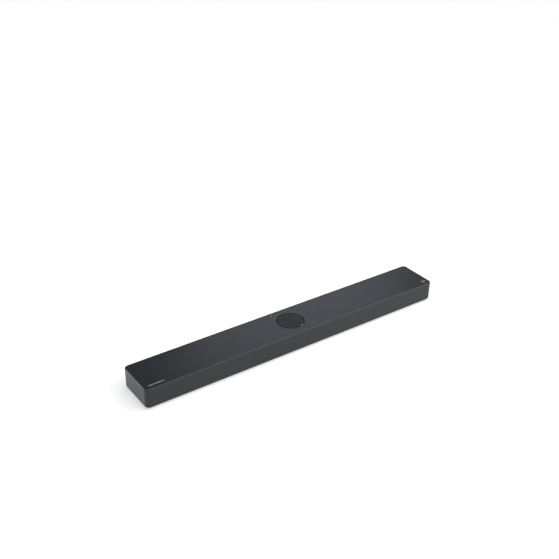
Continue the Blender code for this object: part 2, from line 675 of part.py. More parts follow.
def make_sockets():
    for name, x, (width, height, depth), surface in socket_list():
        base = BOARD_TOP + GAP
        half = width / 2 + SOCKET_WALL
        shape = bmesh.new()
        box(shape, (x - half, SOCKET_FRONT - depth - SOCKET_WALL, base),
            (x + half, SOCKET_FRONT, base + height + 2 * SOCKET_WALL))
        socket = finish(name, shape, surface)
        hollow = bmesh.new()
        box(hollow, (x - width / 2, SOCKET_FRONT - depth, base + SOCKET_WALL),
            (x + width / 2, SOCKET_FRONT + SOCKET_WALL, base + SOCKET_WALL + height))
        combine(socket, hollow, "DIFFERENCE", "hollow")


def make_ac_inlet():
    half, low, high = inlet_outside()
    front = BAY_FLOOR_Y + GAP + SOCKET_WALL
    shape = bmesh.new()
    box(shape, (INLET_X - half, front - INLET_HOLLOW[2] - SOCKET_WALL, low), (INLET_X + half, front, high))
    inlet = finish("ac_inlet", shape, material("inlet_plastic", (0.01, 0.01, 0.01), 0.5))
    flange = bmesh.new()
    box(flange, (INLET_X - half - INLET_FLANGE, BAY_FLOOR_Y + GAP, low - INLET_FLANGE),
        (INLET_X + half + INLET_FLANGE, front, high + INLET_FLANGE))
    combine(inlet, flange, "UNION", "flange")
    hollow = bmesh.new()
    box(hollow, (INLET_X - INLET_HOLLOW[0] / 2, front - INLET_HOLLOW[2], low + SOCKET_WALL),
        (INLET_X + INLET_HOLLOW[0] / 2, front + SOCKET_WALL, high - SOCKET_WALL))
    combine(inlet, hollow, "DIFFERENCE", "hollow")


def make_boards():
    green = material("board_green", (0.02, 0.10, 0.05), 0.5)
    for name, x, size in (("main_board", MAIN_BOARD_X, MAIN_BOARD_SIZE),
                          ("power_board", POWER_BOARD_X, POWER_BOARD_SIZE)):
        shape = bmesh.new()
        box(shape, (x - size[0] / 2, BOARD_Y - size[1] / 2, BOARD_BASE),
            (x + size[0] / 2, BOARD_Y + size[1] / 2, BOARD_TOP))
        finish(name, shape, green)
    shape = bmesh.new()
    box(shape, (DISPLAY_X - DISPLAY_BOARD_SIZE[0] / 2, BAFFLE_FACE - GAP - BOARD_WALL,
                MIDDLE_Z - DISPLAY_BOARD_SIZE[1] / 2),
        (DISPLAY_X + DISPLAY_BOARD_SIZE[0] / 2, BAFFLE_FACE - GAP, MIDDLE_Z + DISPLAY_BOARD_SIZE[1] / 2))
    finish("display_board", shape, green)


def make_heatsink():
    # A comb section, base down, run along Y
    length, width, height = HEATSINK_SIZE
    base = 0.2 * height
    pitch = length / (2 * HEATSINK_FINS - 1)
    left = HEATSINK_X - length / 2
    section = [(left, 0), (left + length, 0)]
    for fin in reversed(range(HEATSINK_FINS)):
        start = left + 2 * fin * pitch
        section += [(start + pitch, height), (start, height)]
        if fin:
            section += [(start, base), (start - pitch, base)]
    bottom = BOARD_TOP + GAP
    shape = bmesh.new()
    loft(shape, [[Vector((x, HEATSINK_Y + side * width / 2, bottom + z)) for x, z in section]
                 for side in (-1, 1)])
    finish("heatsink", shape, material("heatsink_aluminium", (0.45, 0.45, 0.46), 0.4, 1.0))


def make_feet():
    radius = FOOT_SIZE[1] / 2
    straight = FOOT_SIZE[0] / 2 - radius
    edge = 2 * SMALLEST
    top = FOOT_LIFT - GAP
    names = (("front_left", -1, -1), ("front_right", 1, -1), ("rear_left", -1, 1), ("rear_right", 1, 1))
    for name, side_x, side_y in names:
        shape = bmesh.new()
        turned(shape, [(radius - edge, straight, 0), (radius, straight, edge), (radius, straight, top)],
               2 * POST_SEGMENTS)
        place = (side_x * (HALF_LENGTH - FOOT_END_DISTANCE), side_y * (HALF_DEPTH - FOOT_SIDE_DISTANCE), 0)
        finish("foot_" + name, shape, material("foot_rubber", (0.015, 0.015, 0.016), 0.9), place)


make_bottom_cover()
make_rear_cover()
make_inserts()
make_screws()
make_front_baffle()
make_end_frames()
make_front_grille()
make_top_case()
make_top_panel()
make_centre_disc()
make_keys()
make_speakers()
make_connector_bay()
make_sockets()
make_ac_inlet()
make_boards()
make_heatsink()
make_feet()
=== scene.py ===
import json
import math

import bmesh
import bpy
import numpy as np
from mathutils import Matrix, Vector, geometry

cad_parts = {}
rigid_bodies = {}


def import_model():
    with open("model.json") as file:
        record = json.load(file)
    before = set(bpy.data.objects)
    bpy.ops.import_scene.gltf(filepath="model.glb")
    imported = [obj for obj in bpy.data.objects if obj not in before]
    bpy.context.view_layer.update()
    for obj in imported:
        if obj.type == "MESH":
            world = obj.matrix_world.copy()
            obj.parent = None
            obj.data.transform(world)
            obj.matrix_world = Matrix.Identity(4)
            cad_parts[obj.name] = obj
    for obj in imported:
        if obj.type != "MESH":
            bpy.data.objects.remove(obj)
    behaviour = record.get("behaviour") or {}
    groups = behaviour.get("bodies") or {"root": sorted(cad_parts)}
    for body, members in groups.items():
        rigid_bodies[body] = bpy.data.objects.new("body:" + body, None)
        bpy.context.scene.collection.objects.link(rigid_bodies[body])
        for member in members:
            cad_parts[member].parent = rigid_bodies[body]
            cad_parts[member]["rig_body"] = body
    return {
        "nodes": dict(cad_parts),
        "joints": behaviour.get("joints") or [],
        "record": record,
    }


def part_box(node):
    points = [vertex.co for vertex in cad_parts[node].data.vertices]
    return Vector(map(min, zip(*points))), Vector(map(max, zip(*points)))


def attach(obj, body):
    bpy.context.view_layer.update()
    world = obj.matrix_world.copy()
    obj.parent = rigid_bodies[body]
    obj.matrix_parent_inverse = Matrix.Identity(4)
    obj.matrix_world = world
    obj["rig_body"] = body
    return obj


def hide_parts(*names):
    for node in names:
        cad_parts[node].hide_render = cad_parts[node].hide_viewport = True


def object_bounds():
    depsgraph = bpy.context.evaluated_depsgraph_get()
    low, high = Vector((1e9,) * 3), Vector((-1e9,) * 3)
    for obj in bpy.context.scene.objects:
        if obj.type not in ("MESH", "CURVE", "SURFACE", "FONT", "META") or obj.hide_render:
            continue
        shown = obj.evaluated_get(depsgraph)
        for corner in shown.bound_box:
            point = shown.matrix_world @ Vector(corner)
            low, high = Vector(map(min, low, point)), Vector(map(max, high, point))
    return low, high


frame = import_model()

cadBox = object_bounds()
boxLow, boxHigh = np.array(cadBox[0]), np.array(cadBox[1])
sceneRoot = bpy.context.scene

# The bar's own outline: its box is read from the frame, its edges and its skin are set here
bar = {
    "halfLength": (boxHigh[0] - boxLow[0]) / 2,
    "halfDepth": (boxHigh[1] - boxLow[1]) / 2,
    "top": boxHigh[2],
    "base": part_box("front_grille")[0].z,
    "seamY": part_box("front_grille")[1].y,
    "cornerRadius": 0.013,
    "topEdge": 0.003,         # 1 mm rounder than on the CAD part, which has 0.002
    "bottomEdge": 0.004,
    "skin": 0.0012,
    "topLip": 0.004,
    "bottomLip": 0.010,
    "cornerSteps": 20,
    "edgeSteps": 8,
    "gap": 0.0003,            # between pieces that meet
    "leastTurn": 0.0002,      # least radius in the skin's corners and in its section
}


# Small tools for surfaces

def gridFaces(rows, columns, closeRows=False, closeColumns=False):
    # Quads between neighbours on a rows by columns grid of points
    rowCount = rows if closeRows else rows - 1
    columnCount = columns if closeColumns else columns - 1
    i, j = np.meshgrid(np.arange(rowCount), np.arange(columnCount), indexing="ij")
    nextI, nextJ = (i + 1) % rows, (j + 1) % columns
    quads = np.stack([i * columns + j, nextI * columns + j, nextI * columns + nextJ, i * columns + nextJ], -1)
    return quads.reshape(-1, 4)


def arcPoints(centre, radii, startDegrees, endDegrees, steps):
    # centre + radii * (cos a, sin a) for evenly spaced angles
    angle = np.radians(np.linspace(startDegrees, endDegrees, steps + 1))
    return np.stack([centre[0] + radii[0] * np.cos(angle), centre[1] + radii[1] * np.sin(angle)], -1)


def makePiece(name, points, faces, material, body="case", replaces=(), slot=None, uv=None, sharp=35):
    # Points and faces become one outward-facing, smooth-shaded piece that rides on a body
    mesh = bpy.data.meshes.new(name)
    mesh.from_pydata(np.asarray(points).reshape(-1, 3).tolist(), [], [list(map(int, f)) for f in faces])
    if uv is not None:
        layer = mesh.uv_layers.new(name="surfaceMetres")
        index = np.zeros(len(mesh.loops), dtype=np.int32)
        mesh.loops.foreach_get("vertex_index", index)
        layer.data.foreach_set("uv", np.asarray(uv).reshape(-1, 2)[index].ravel())
    return finishPiece(name, mesh, material, body, replaces, sharp)


def finishPiece(name, mesh, material, body, replaces, sharp, merge=0.000002):
    # Doubles merged, faces turned outwards, round sides smooth, and the piece put on its body
    shape = bmesh.new()
    shape.from_mesh(mesh)
    bmesh.ops.remove_doubles(shape, verts=shape.verts, dist=merge)
    bmesh.ops.recalc_face_normals(shape, faces=shape.faces)
    shape.to_mesh(mesh)
    shape.free()
    mesh.shade_smooth()
    mesh.set_sharp_from_angle(angle=math.radians(sharp))
    piece = bpy.data.objects.new(name, mesh)
    sceneRoot.collection.objects.link(piece)
    mesh.materials.clear()
    mesh.materials.append(material)
    shading = piece.modifiers.new("flatFacesLead", "WEIGHTED_NORMAL")
    shading.keep_sharp = True
    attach(piece, body)
    if replaces:
        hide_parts(*replaces)
    return piece


def turnedGrid(profile, segments, centre=(0.0, 0.0), straight=0.0):
    # (radius, height) points carried round an upright axis, or round a racetrack
    angle = (np.arange(segments) + 0.5) * 2 * math.pi / segments
    radius, height = profile[:, 0][:, None], profile[:, 1][:, None]
    x = centre[0] + radius * np.cos(angle)[None, :] + straight * np.sign(np.cos(angle))[None, :]
    y = centre[1] + radius * np.sin(angle)[None, :]
    return np.stack([x, y, np.broadcast_to(height, x.shape)], -1)


def turnTo(points, facing):
    # Heights run up, out of the back, or down out of the underside
    points = np.asarray(points, float).reshape(-1, 3)
    if facing == "rear":
        return points[:, [0, 2, 1]]
    if facing == "down":
        return points * np.array([1.0, 1.0, -1.0])
    return points


def joinShapes(shapes):
    # Several (points, faces) shapes as one
    points, faces, start = [], [], 0
    for somePoints, someFaces in shapes:
        points.append(np.asarray(somePoints).reshape(-1, 3))
        faces += [[v + start for v in face] for face in someFaces]
        start += len(points[-1])
    return np.concatenate(points), faces


def turnedPiece(name, profile, segments, material, centre=(0.0, 0.0), straight=0.0, looped=False,
                facing="up", sixSided=(), **extra):
    # A closed section gives a ring; an open one is closed by a face at each end.
    # Rows listed in sixSided follow a hexagon of the same size instead of a circle.
    profile = np.array(profile, float)
    points = turnedGrid(profile, segments, (0.0, 0.0), straight)
    if len(sixSided):
        angle = (np.arange(segments) + 0.5) * 2 * math.pi / segments
        flats = math.cos(math.pi / 6) / np.cos(np.mod(angle, math.pi / 3) - math.pi / 6)
        points[list(sixSided), :, :2] *= flats[None, :, None]
    points = turnTo(points + np.array([centre[0], centre[1], 0.0]), facing)
    faces = gridFaces(len(profile), segments, closeRows=looped, closeColumns=True).tolist()
    if not looped:
        faces.append(list(range(segments)))
        faces.append(list(range((len(profile) - 1) * segments, len(profile) * segments)))
    return makePiece(name, points, faces, material, **extra)


def circleLoop(radius, segments, centre=(0.0, 0.0)):
    return arcPoints(centre, (radius, radius), 0, 360, segments)[:-1]


def plateMesh(outer, holes, low, high, soft=0.0, softHoles=()):
    # A flat plate from loops: outer(inset) and each hole(inset) give a loop moved into the
    # plate's material. A small quarter round of radius soft runs along the upper edges.
    loops = [(outer, True)] + [(hole, index in softHoles) for index, hole in enumerate(holes)]
    pointRows, faces, topLoops, lowLoops = [], [], [], []
    start = 0
    turn = np.linspace(0, math.pi / 2, 4)
    for loop, rounded in loops:
        radius = soft if rounded else 0.0
        insets = radius * (1 - np.cos(turn)) if radius else np.zeros(1)
        heights = high - radius + radius * np.sin(turn) if radius else np.array([high])
        rings = [np.column_stack([loop(0.0), np.full(len(loop(0.0)), low)])]
        for inset, height in zip(insets, heights):
            ring = loop(inset)
            rings.append(np.column_stack([ring, np.full(len(ring), height)]))
        count = len(rings[0])
        faces += (gridFaces(len(rings), count, closeColumns=True) + start).tolist()
        lowLoops.append(np.arange(count) + start)
        start += count * len(rings)
        topLoops.append(np.arange(count) + start - count)
        pointRows += rings
    points = np.concatenate(pointRows)
    for group in (topLoops, lowLoops):
        flat = [Vector(points[i, :2]) for ids in group for i in ids]
        order = np.concatenate(group)
        edges, first = [], 0
        for ids in group:
            edges += [(first + k, first + (k + 1) % len(ids)) for k in range(len(ids))]
            first += len(ids)
        found = geometry.delaunay_2d_cdt(flat, edges, [], 2, 1e-7)
        corners = np.array([list(v) for v in found[0]])
        source = [order[ids[0]] for ids in found[3]]
        triangles = [t for t in found[2]]
        middles = np.array([corners[list(t)].mean(0) for t in triangles])
        keep = np.ones(len(triangles), bool)
        for ids in group[1:]:
            ring = points[ids, :2]
            centre, reach = ring.mean(0), np.abs(ring - ring.mean(0)).max(0) * 1.0001
            near = (np.abs(middles - centre) < reach).all(1)
            for k in np.nonzero(near)[0]:
                if insideLoop(middles[k], ring):
                    keep[k] = False
        faces += [[int(source[v]) for v in t] for t, k in zip(triangles, keep) if k]
    return points, faces


def roundedRectangle(halfX, halfY, radius, centre=(0.0, 0.0), steps=4):
    def loop(inset):
        reachX, reachY, turn = halfX - inset, halfY - inset, max(radius - inset, 0.00002)
        corners = [arcPoints((centre[0] + sx * (reachX - turn), centre[1] + sy * (reachY - turn)),
                             (turn, turn), start, start + 90, steps)
                   for sx, sy, start in ((1, 1, 0), (-1, 1, 90), (-1, -1, 180), (1, -1, 270))]
        return np.concatenate(corners)
    return loop


def platesPiece(name, outlines, low, high, soft, material, facing="up", **extra):
    # One piece of several flat plates with softened upper edges
    points, faces = joinShapes([plateMesh(outline, [], low, high, soft) for outline in outlines])
    return makePiece(name, turnTo(points, facing), faces, material, **extra)


def insideLoop(point, ring):
    # Even-odd rule: how many sides of the loop lie to the right of the point
    x, y = ring[:, 0], ring[:, 1]
    nextX, nextY = np.roll(x, -1), np.roll(y, -1)
    crosses = (y > point[1]) != (nextY > point[1])
    height = np.where(nextY == y, 1.0, nextY - y)
    return bool(np.sum(crosses & (point[0] < (nextX - x) * (point[1] - y) / height + x)) % 2)


def cornerPlan(insets, sideX, sideY, startDegrees):
    # One rounded corner for every inset at once: stations by insets by (x, y)
    angle = np.radians(np.linspace(startDegrees, startDegrees + 90, bar["cornerSteps"] + 1))[:, None]
    radius = np.maximum(bar["cornerRadius"] - insets, bar["leastTurn"])[None, :]
    x = sideX * (bar["halfLength"] - insets[None, :] - radius) + radius * np.cos(angle)
    y = sideY * (bar["halfDepth"] - insets[None, :] - radius) + radius * np.sin(angle)
    return np.stack([x, y], -1)


def frontPlan(insets):
    start = np.stack([-bar["halfLength"] + insets, np.full(len(insets), bar["seamY"])], -1)[None]
    end = start * np.array([-1.0, 1.0])
    return np.concatenate([start, cornerPlan(insets, -1, -1, 180), cornerPlan(insets, 1, -1, 270), end])


def outlineLoop(baseInset):
    def loop(inset):
        insets = np.array([baseInset + inset])
        parts = [cornerPlan(insets, *c)[:, 0] for c in ((-1, -1, 180), (1, -1, 270), (1, 1, 0), (-1, 1, 90))]
        return np.concatenate(parts)
    return loop


def holeLoop(radius, segments, centre):
    return lambda inset: circleLoop(radius + inset, segments, centre)


def skinSection(sideWall):
    # (inset, height) round the skin: under lip, lower edge, side, upper edge, top lip, inside
    low, high, lip, steps = bar["base"], bar["top"], bar["skin"], bar["edgeSteps"]
    below, above = bar["bottomEdge"], bar["topEdge"]
    least = bar["leastTurn"]
    inBelow = max(below - sideWall, least), max(below - lip, least)
    inAbove = max(above - sideWall, least), max(above - lip, least)
    return np.concatenate([
        [(bar["bottomLip"], low)],
        arcPoints((below, low + below), (below, below), 270, 180, steps),
        arcPoints((above, high - above), (above, above), 180, 90, steps),
        [(bar["topLip"], high), (bar["topLip"], high - lip)],
        arcPoints((sideWall + inAbove[0], high - lip - inAbove[1]), inAbove, 90, 180, steps),
        arcPoints((sideWall + inBelow[0], low + lip + inBelow[1]), inBelow, 180, 270, steps),
        [(bar["bottomLip"], low + lip)],
    ])


def skinMesh(plan, sideWall):
    # The section carried along the plan line, with a face closing each end.
    # The map runs in metres: along the outline one way, along the section the other.
    section = skinSection(sideWall)
    flat = plan(section[:, 0])
    points = np.concatenate([flat, np.broadcast_to(section[:, 1], flat.shape[:2])[..., None]], -1)
    outline = plan(np.zeros(1))[:, 0]
    along = np.concatenate([[0], np.cumsum(np.linalg.norm(np.diff(outline, axis=0), axis=1))])
    across = np.concatenate([[0], np.cumsum(np.linalg.norm(np.diff(section, axis=0), axis=1))])
    uv = np.stack(np.meshgrid(along, across, indexing="ij"), -1)
    rows, columns = points.shape[:2]
    faces = gridFaces(rows, columns, closeColumns=True).tolist()
    faces.append(list(range(columns)))
    faces.append(list(range((rows - 1) * columns, rows * columns)))
    return points.reshape(-1, 3), faces, uv


def smoothCopy(node, name, material, sharp=32):
    # A frame piece's own shape with shared corners, so that its round sides shade smoothly
    mesh = frame["nodes"][node].data.copy()
    mesh.name = name
    return finishPiece(name, mesh, material, frame["nodes"][node]["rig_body"], (node,), sharp)


# Materials

def startMaterial(name):
    made = bpy.data.materials.new(name)
    made.use_nodes = True
    tree = made.node_tree
    return made, tree, tree.nodes["Principled BSDF"]


def addNode(tree, kind, **settings):
    node = tree.nodes.new(kind)
    for key, value in settings.items():
        setattr(node, key, value)
    return node


def noiseNode(tree, source, scale, detail=3.0, roughness=0.5, dimensions="3D"):
    node = addNode(tree, "ShaderNodeTexNoise", noise_dimensions=dimensions)
    node.inputs["Scale"].default_value = scale
    node.inputs["Detail"].default_value = detail
    node.inputs["Roughness"].default_value = roughness
    tree.links.new(source, node.inputs["Vector"])
    return node.outputs["Fac"]


def rangeNode(tree, source, fromLow, fromHigh, toLow, toHigh):
    node = addNode(tree, "ShaderNodeMapRange")
    limits = {"From Min": fromLow, "From Max": fromHigh, "To Min": toLow, "To Max": toHigh}
    for socket, value in limits.items():
        node.inputs[socket].default_value = value
    tree.links.new(source, node.inputs["Value"])
    return node.outputs["Result"]


def mixColour(tree, factor, first, second):
    node = addNode(tree, "ShaderNodeMix", data_type="RGBA")
    for socket, value in ((node.inputs[6], first), (node.inputs[7], second)):
        if isinstance(value, tuple):
            socket.default_value = (*value, 1.0)
        else:
            tree.links.new(value, socket)
    tree.links.new(factor, node.inputs[0])
    return node.outputs[2]


def mathNode(tree, operation, first, second=None):
    node = addNode(tree, "ShaderNodeMath", operation=operation)
    for socket, value in zip(node.inputs, (first, second)):
        if value is None:
            continue
        if isinstance(value, (int, float)):
            socket.default_value = value
        else:
            tree.links.new(value, socket)
    return node.outputs[0]


def mouldedMaterial(name, dark, light, rough=(0.45, 0.6), grain=2600.0, depth=0.00004, cloud=14.0,
                    metal=0.0, specular=0.5, stretch=None):
    # Cloudy colour between dark and light, a fine grain in the bump, and rubbed patches in the gloss
    made, tree, shader = startMaterial(name)
    source = addNode(tree, "ShaderNodeTexCoord").outputs["Object"]
    grainSource = source
    if stretch:
        mapping = addNode(tree, "ShaderNodeMapping")
        mapping.inputs["Scale"].default_value = stretch
        tree.links.new(source, mapping.inputs["Vector"])
        grainSource = mapping.outputs["Vector"]
    clouds = rangeNode(tree, noiseNode(tree, source, cloud), 0.3, 0.7, 0.0, 1.0)
    grains = noiseNode(tree, grainSource, grain, 2.0)
    speckle = mathNode(tree, "MULTIPLY", clouds, rangeNode(tree, grains, 0.3, 0.7, 0.7, 1.0))
    tree.links.new(mixColour(tree, speckle, dark, light), shader.inputs["Base Color"])
    patches = noiseNode(tree, source, cloud * 3.7, 4.0)
    tree.links.new(rangeNode(tree, patches, 0.3, 0.7, rough[0], rough[1]), shader.inputs["Roughness"])
    bump = addNode(tree, "ShaderNodeBump")
    bump.inputs["Strength"].default_value = 0.5
    bump.inputs["Distance"].default_value = depth
    tree.links.new(grains, bump.inputs["Height"])
    tree.links.new(bump.outputs["Normal"], shader.inputs["Normal"])
    shader.inputs["Metallic"].default_value = metal
    shader.inputs["Specular IOR Level"].default_value = specular
    return made


meshLook = {
    "pitch": 0.0024,          # between neighbouring holes
    "holeRadius": 0.00062,
    "paintDark": (0.0150, 0.0172, 0.0222),
    "paintLight": (0.0172, 0.0194, 0.0245),
    "holeShade": 0.45,        # how much darker a hole is than the paint
    "rough": (0.30, 0.34),
    "specular": 0.38,
    "edgeLight": 2.5,        # painted highlight: the solid folded edge is painted this much lighter than the paint
    "edgeRough": 0.22,
}


def perforatedMaterial(name, look):
    # Painted metal with staggered rows of round holes. The distance to the nearest hole is the
    # smaller of the distances to two offset square-wrapped lattices, in metres on the surface.
    # Faces whose foldedEdge value is 1 are solid, without holes, smoother, and painted lighter as a painted
    # highlight.
    made, tree, shader = startMaterial(name)
    coordinates = addNode(tree, "ShaderNodeTexCoord")
    objectSource = coordinates.outputs["Object"]
    flat = coordinates.outputs["UV"]
    folded = addNode(tree, "ShaderNodeAttribute", attribute_name="foldedEdge").outputs["Fac"]
    pitch = look["pitch"]
    step = (pitch, pitch * math.sqrt(3), 1.0)
    distances = []
    for offset in ((0.0, 0.0, 0.0), (step[0] / 2, step[1] / 2, 0.0)):
        shifted = addNode(tree, "ShaderNodeVectorMath", operation="ADD")
        tree.links.new(flat, shifted.inputs[0])
        shifted.inputs[1].default_value = offset
        wrapped = addNode(tree, "ShaderNodeVectorMath", operation="WRAP")
        tree.links.new(shifted.outputs[0], wrapped.inputs[0])
        wrapped.inputs[1].default_value = (step[0] / 2, step[1] / 2, 0.5)
        wrapped.inputs[2].default_value = (-step[0] / 2, -step[1] / 2, -0.5)
        planar = addNode(tree, "ShaderNodeVectorMath", operation="MULTIPLY")
        tree.links.new(wrapped.outputs[0], planar.inputs[0])
        planar.inputs[1].default_value = (1.0, 1.0, 0.0)
        length = addNode(tree, "ShaderNodeVectorMath", operation="LENGTH")
        tree.links.new(planar.outputs[0], length.inputs[0])
        distances.append(length.outputs["Value"])
    nearest = mathNode(tree, "MINIMUM", *distances)
    radius = look["holeRadius"]
    outside = rangeNode(tree, nearest, radius * 0.75, radius * 1.15, 0.0, 1.0)
    solid = mathNode(tree, "MAXIMUM", outside, folded)
    clouds = rangeNode(tree, noiseNode(tree, objectSource, 9.0, 4.0), 0.3, 0.7, 0.0, 1.0)
    paint = mixColour(tree, clouds, look["paintDark"], look["paintLight"])
    shade = 1 - look["holeShade"]
    holes = mixColour(tree, solid, tuple(c * shade for c in look["paintDark"]), paint)
    # Painted highlight along the folded edge: the light paint made lighter still
    edgeHighlightColour = tuple(c * look["edgeLight"] for c in look["paintLight"])
    tree.links.new(mixColour(tree, folded, holes, edgeHighlightColour), shader.inputs["Base Color"])
    patches = rangeNode(tree, noiseNode(tree, objectSource, 60.0, 4.0), 0.3, 0.7, *look["rough"])
    smoother = mathNode(tree, "MULTIPLY", folded, look["rough"][0] - look["edgeRough"])
    tree.links.new(mathNode(tree, "SUBTRACT", patches, smoother), shader.inputs["Roughness"])
    orange = noiseNode(tree, objectSource, 1400.0, 2.0)
    height = mathNode(tree, "ADD", solid, mathNode(tree, "MULTIPLY", orange, 0.12))
    bump = addNode(tree, "ShaderNodeBump")
    bump.inputs["Strength"].default_value = 0.35
    bump.inputs["Distance"].default_value = 0.00012
    tree.links.new(height, bump.inputs["Height"])
    tree.links.new(bump.outputs["Normal"], shader.inputs["Normal"])
    shader.inputs["Specular IOR Level"].default_value = look["specular"]
    return made


mouldedLooks = {     # dark colour, light colour, range of roughness, fineness of the grain, its depth
    "discPaint": ((0.032, 0.032, 0.040), (0.041, 0.041, 0.049), (0.55, 0.7), 1500.0),
    "ringBlack": ((0.003, 0.003, 0.004), (0.005, 0.005, 0.006), (0.5, 0.62), 3000.0),
    "keyPaint": ((0.030, 0.034, 0.044), (0.036, 0.040, 0.050), (0.46, 0.58), 1800.0),
    "paleInk": ((0.50, 0.51, 0.53), (0.60, 0.61, 0.63), (0.45, 0.6), 4000.0, 0.00001),
    "keyInk": ((0.33, 0.34, 0.36), (0.40, 0.41, 0.43), (0.45, 0.6), 4000.0, 0.00001),
    "dimInk": ((0.22, 0.23, 0.24), (0.28, 0.29, 0.30), (0.45, 0.6), 4000.0, 0.00001),
    # Light grey milky lens; on the status lens this light grey is also a painted glint on the ring's bevel
    "milkyLens": ((0.36, 0.37, 0.39), (0.44, 0.45, 0.47), (0.25, 0.35), 900.0, 0.00001),
    "rearPlastic": ((0.015, 0.016, 0.018), (0.021, 0.022, 0.025), (0.5, 0.66), 1900.0),
    "casePlastic": ((0.012, 0.012, 0.014), (0.017, 0.018, 0.020), (0.5, 0.68), 1700.0),
    "trayPlastic": ((0.009, 0.009, 0.010), (0.014, 0.014, 0.015), (0.45, 0.6), 2300.0),
    "footRubber": ((0.010, 0.010, 0.011), (0.017, 0.017, 0.018), (0.75, 0.92), 1200.0, 0.00008),
    "boardGreen": ((0.010, 0.055, 0.028), (0.018, 0.085, 0.042), (0.3, 0.45), 700.0),
    "brushedMetal": ((0.42, 0.42, 0.44), (0.58, 0.58, 0.60), (0.22, 0.38), 900.0, 0.00002),
    "blackSteel": ((0.035, 0.035, 0.038), (0.07, 0.07, 0.075), (0.28, 0.42), 2200.0),
    "brass": ((0.50, 0.35, 0.13), (0.66, 0.49, 0.20), (0.2, 0.36), 1600.0),
    "socketBlack": ((0.008, 0.008, 0.008), (0.013, 0.013, 0.013), (0.3, 0.45), 2600.0),
    "goldContact": ((0.62, 0.43, 0.14), (0.75, 0.55, 0.2), (0.2, 0.3), 3000.0, 0.00001),
    "basketPaint": ((0.05, 0.05, 0.055), (0.08, 0.08, 0.085), (0.35, 0.5), 1500.0),
    "conePaper": ((0.016, 0.016, 0.018), (0.028, 0.028, 0.030), (0.7, 0.85), 800.0, 0.00015),
    "surroundRubber": ((0.008, 0.008, 0.009), (0.012, 0.012, 0.013), (0.6, 0.75), 1800.0),
    "labelFilm": ((0.030, 0.031, 0.034), (0.038, 0.039, 0.042), (0.35, 0.45), 1500.0, 0.00001),
    "domeSilk": ((0.012, 0.012, 0.016), (0.022, 0.022, 0.027), (0.6, 0.75), 2400.0),
}
mouldedExtras = {
    "ringBlack": {"specular": 0.15},
    "brushedMetal": {"metal": 1.0, "stretch": (1.0, 30.0, 1.0)},
    "blackSteel": {"metal": 1.0},
    "brass": {"metal": 1.0},
    "goldContact": {"metal": 1.0},
    "basketPaint": {"metal": 0.8},
}
finishes = {"meshPaint": perforatedMaterial("meshPaint", meshLook)}
for finishName, look in mouldedLooks.items():
    finishes[finishName] = mouldedMaterial(finishName, *look, **mouldedExtras.get(finishName, {}))
print("materials ready:", len(finishes))


# Outer skins

def markFoldedEdge(mesh):
    # 1 on the faces of the rounded upper edge and of the flat lip beyond it; 0 elsewhere. These faces carry
    # the painted highlight.
    middles, normals = np.zeros((2, len(mesh.polygons), 3))
    mesh.polygons.foreach_get("center", middles.ravel())
    mesh.polygons.foreach_get("normal", normals.ravel())
    onEdge = (middles[:, 2] > bar["top"] - bar["topEdge"]) & (normals[:, 2] > 0.05)
    folded = mesh.attributes.new("foldedEdge", "FLOAT", "FACE")
    folded.data.foreach_set("value", onEdge.astype(np.float32))
    return int(onEdge.sum())


def makeFrontGrille():
    points, faces, uv = skinMesh(frontPlan, bar["skin"])
    piece = makePiece("frontGrilleSkin", points, faces, finishes["meshPaint"], replaces=("front_grille",),
                      slot="painted_mesh", uv=uv)
    print("faces on the folded edge:", markFoldedEdge(piece.data))


topSkin = {
    "groove": 0.0003,         # narrower than on the CAD part, which has 0.0008
    "softEdge": 0.0002,
    "discSegments": 160,
    "keySegments": 40,
}
keyNames = [j["child"] for j in frame["joints"] if j["child"].startswith("key_")]


def boxMiddle(node):
    low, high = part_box(node)
    return (low + high) / 2


def makeTopSkin():
    low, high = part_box("top_panel")
    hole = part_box("centre_ring")[1].x + bar["gap"]
    holes = [holeLoop(hole, topSkin["discSegments"], (0.0, 0.0))]
    for name in keyNames:
        middle = boxMiddle(name)
        holes.append(holeLoop(keyCap["radius"] + bar["gap"], topSkin["keySegments"], (middle.x, middle.y)))
    points, faces = plateMesh(outlineLoop(bar["topLip"] + topSkin["groove"]), holes, low.z, high.z,
                              topSkin["softEdge"], softHoles=(0,))
    return makePiece("topSkin", points, faces, finishes["meshPaint"], replaces=("top_panel",),
                     slot="painted_mesh", uv=points[:, :2])


# Centre disc

disc = {
    "pitch": 0.0021,
    "holeRadius": 0.00062,
    "holeSides": 8,
    "solidRim": 0.0016,
    "softEdge": 0.0004,
    "segments": 160,
    "plate": 0.0007,          # thickness of the perforated plate
    "cloth": 0.0004,          # thickness of the cloth behind it, and how far it stays inside the rim
    "clothPole": 0.002,
}


def makeCentreDisc():
    low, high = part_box("centre_grille")
    radius = high.x
    pitch = disc["pitch"]
    rows = int(radius / (pitch * math.sqrt(3) / 2)) + 1
    columns = int(radius / pitch) + 1
    j, i = np.meshgrid(np.arange(-rows, rows + 1), np.arange(-columns, columns + 1), indexing="ij")
    x = (i + 0.5 * (j % 2)) * pitch
    y = j * pitch * math.sqrt(3) / 2
    inside = np.hypot(x, y) < radius - disc["solidRim"] - disc["holeRadius"]
    holes = [holeLoop(disc["holeRadius"], disc["holeSides"], centre)
             for centre in zip(x[inside].tolist(), y[inside].tolist())]
    points, faces = plateMesh(lambda inset: circleLoop(radius - inset, disc["segments"]), holes,
                              high.z - disc["plate"], high.z, disc["softEdge"])
    grille = makePiece("centreGrille", points, faces, finishes["discPaint"], replaces=("centre_grille",),
                       slot="disc_mesh")
    cloth, pole = disc["cloth"], disc["clothPole"]
    profile = [(pole, low.z + cloth), (radius - cloth, low.z + cloth), (radius - cloth, low.z), (pole, low.z)]
    turnedPiece("centreGrilleCloth", profile, disc["segments"], finishes["conePaper"], slot="cone_paper")
    return grille


ringShape = {"softEdge": 0.0002, "channelDepth": 0.00035, "outerLand": 0.0009, "slopeFoot": 0.0015,
             "innerLand": 0.0009}


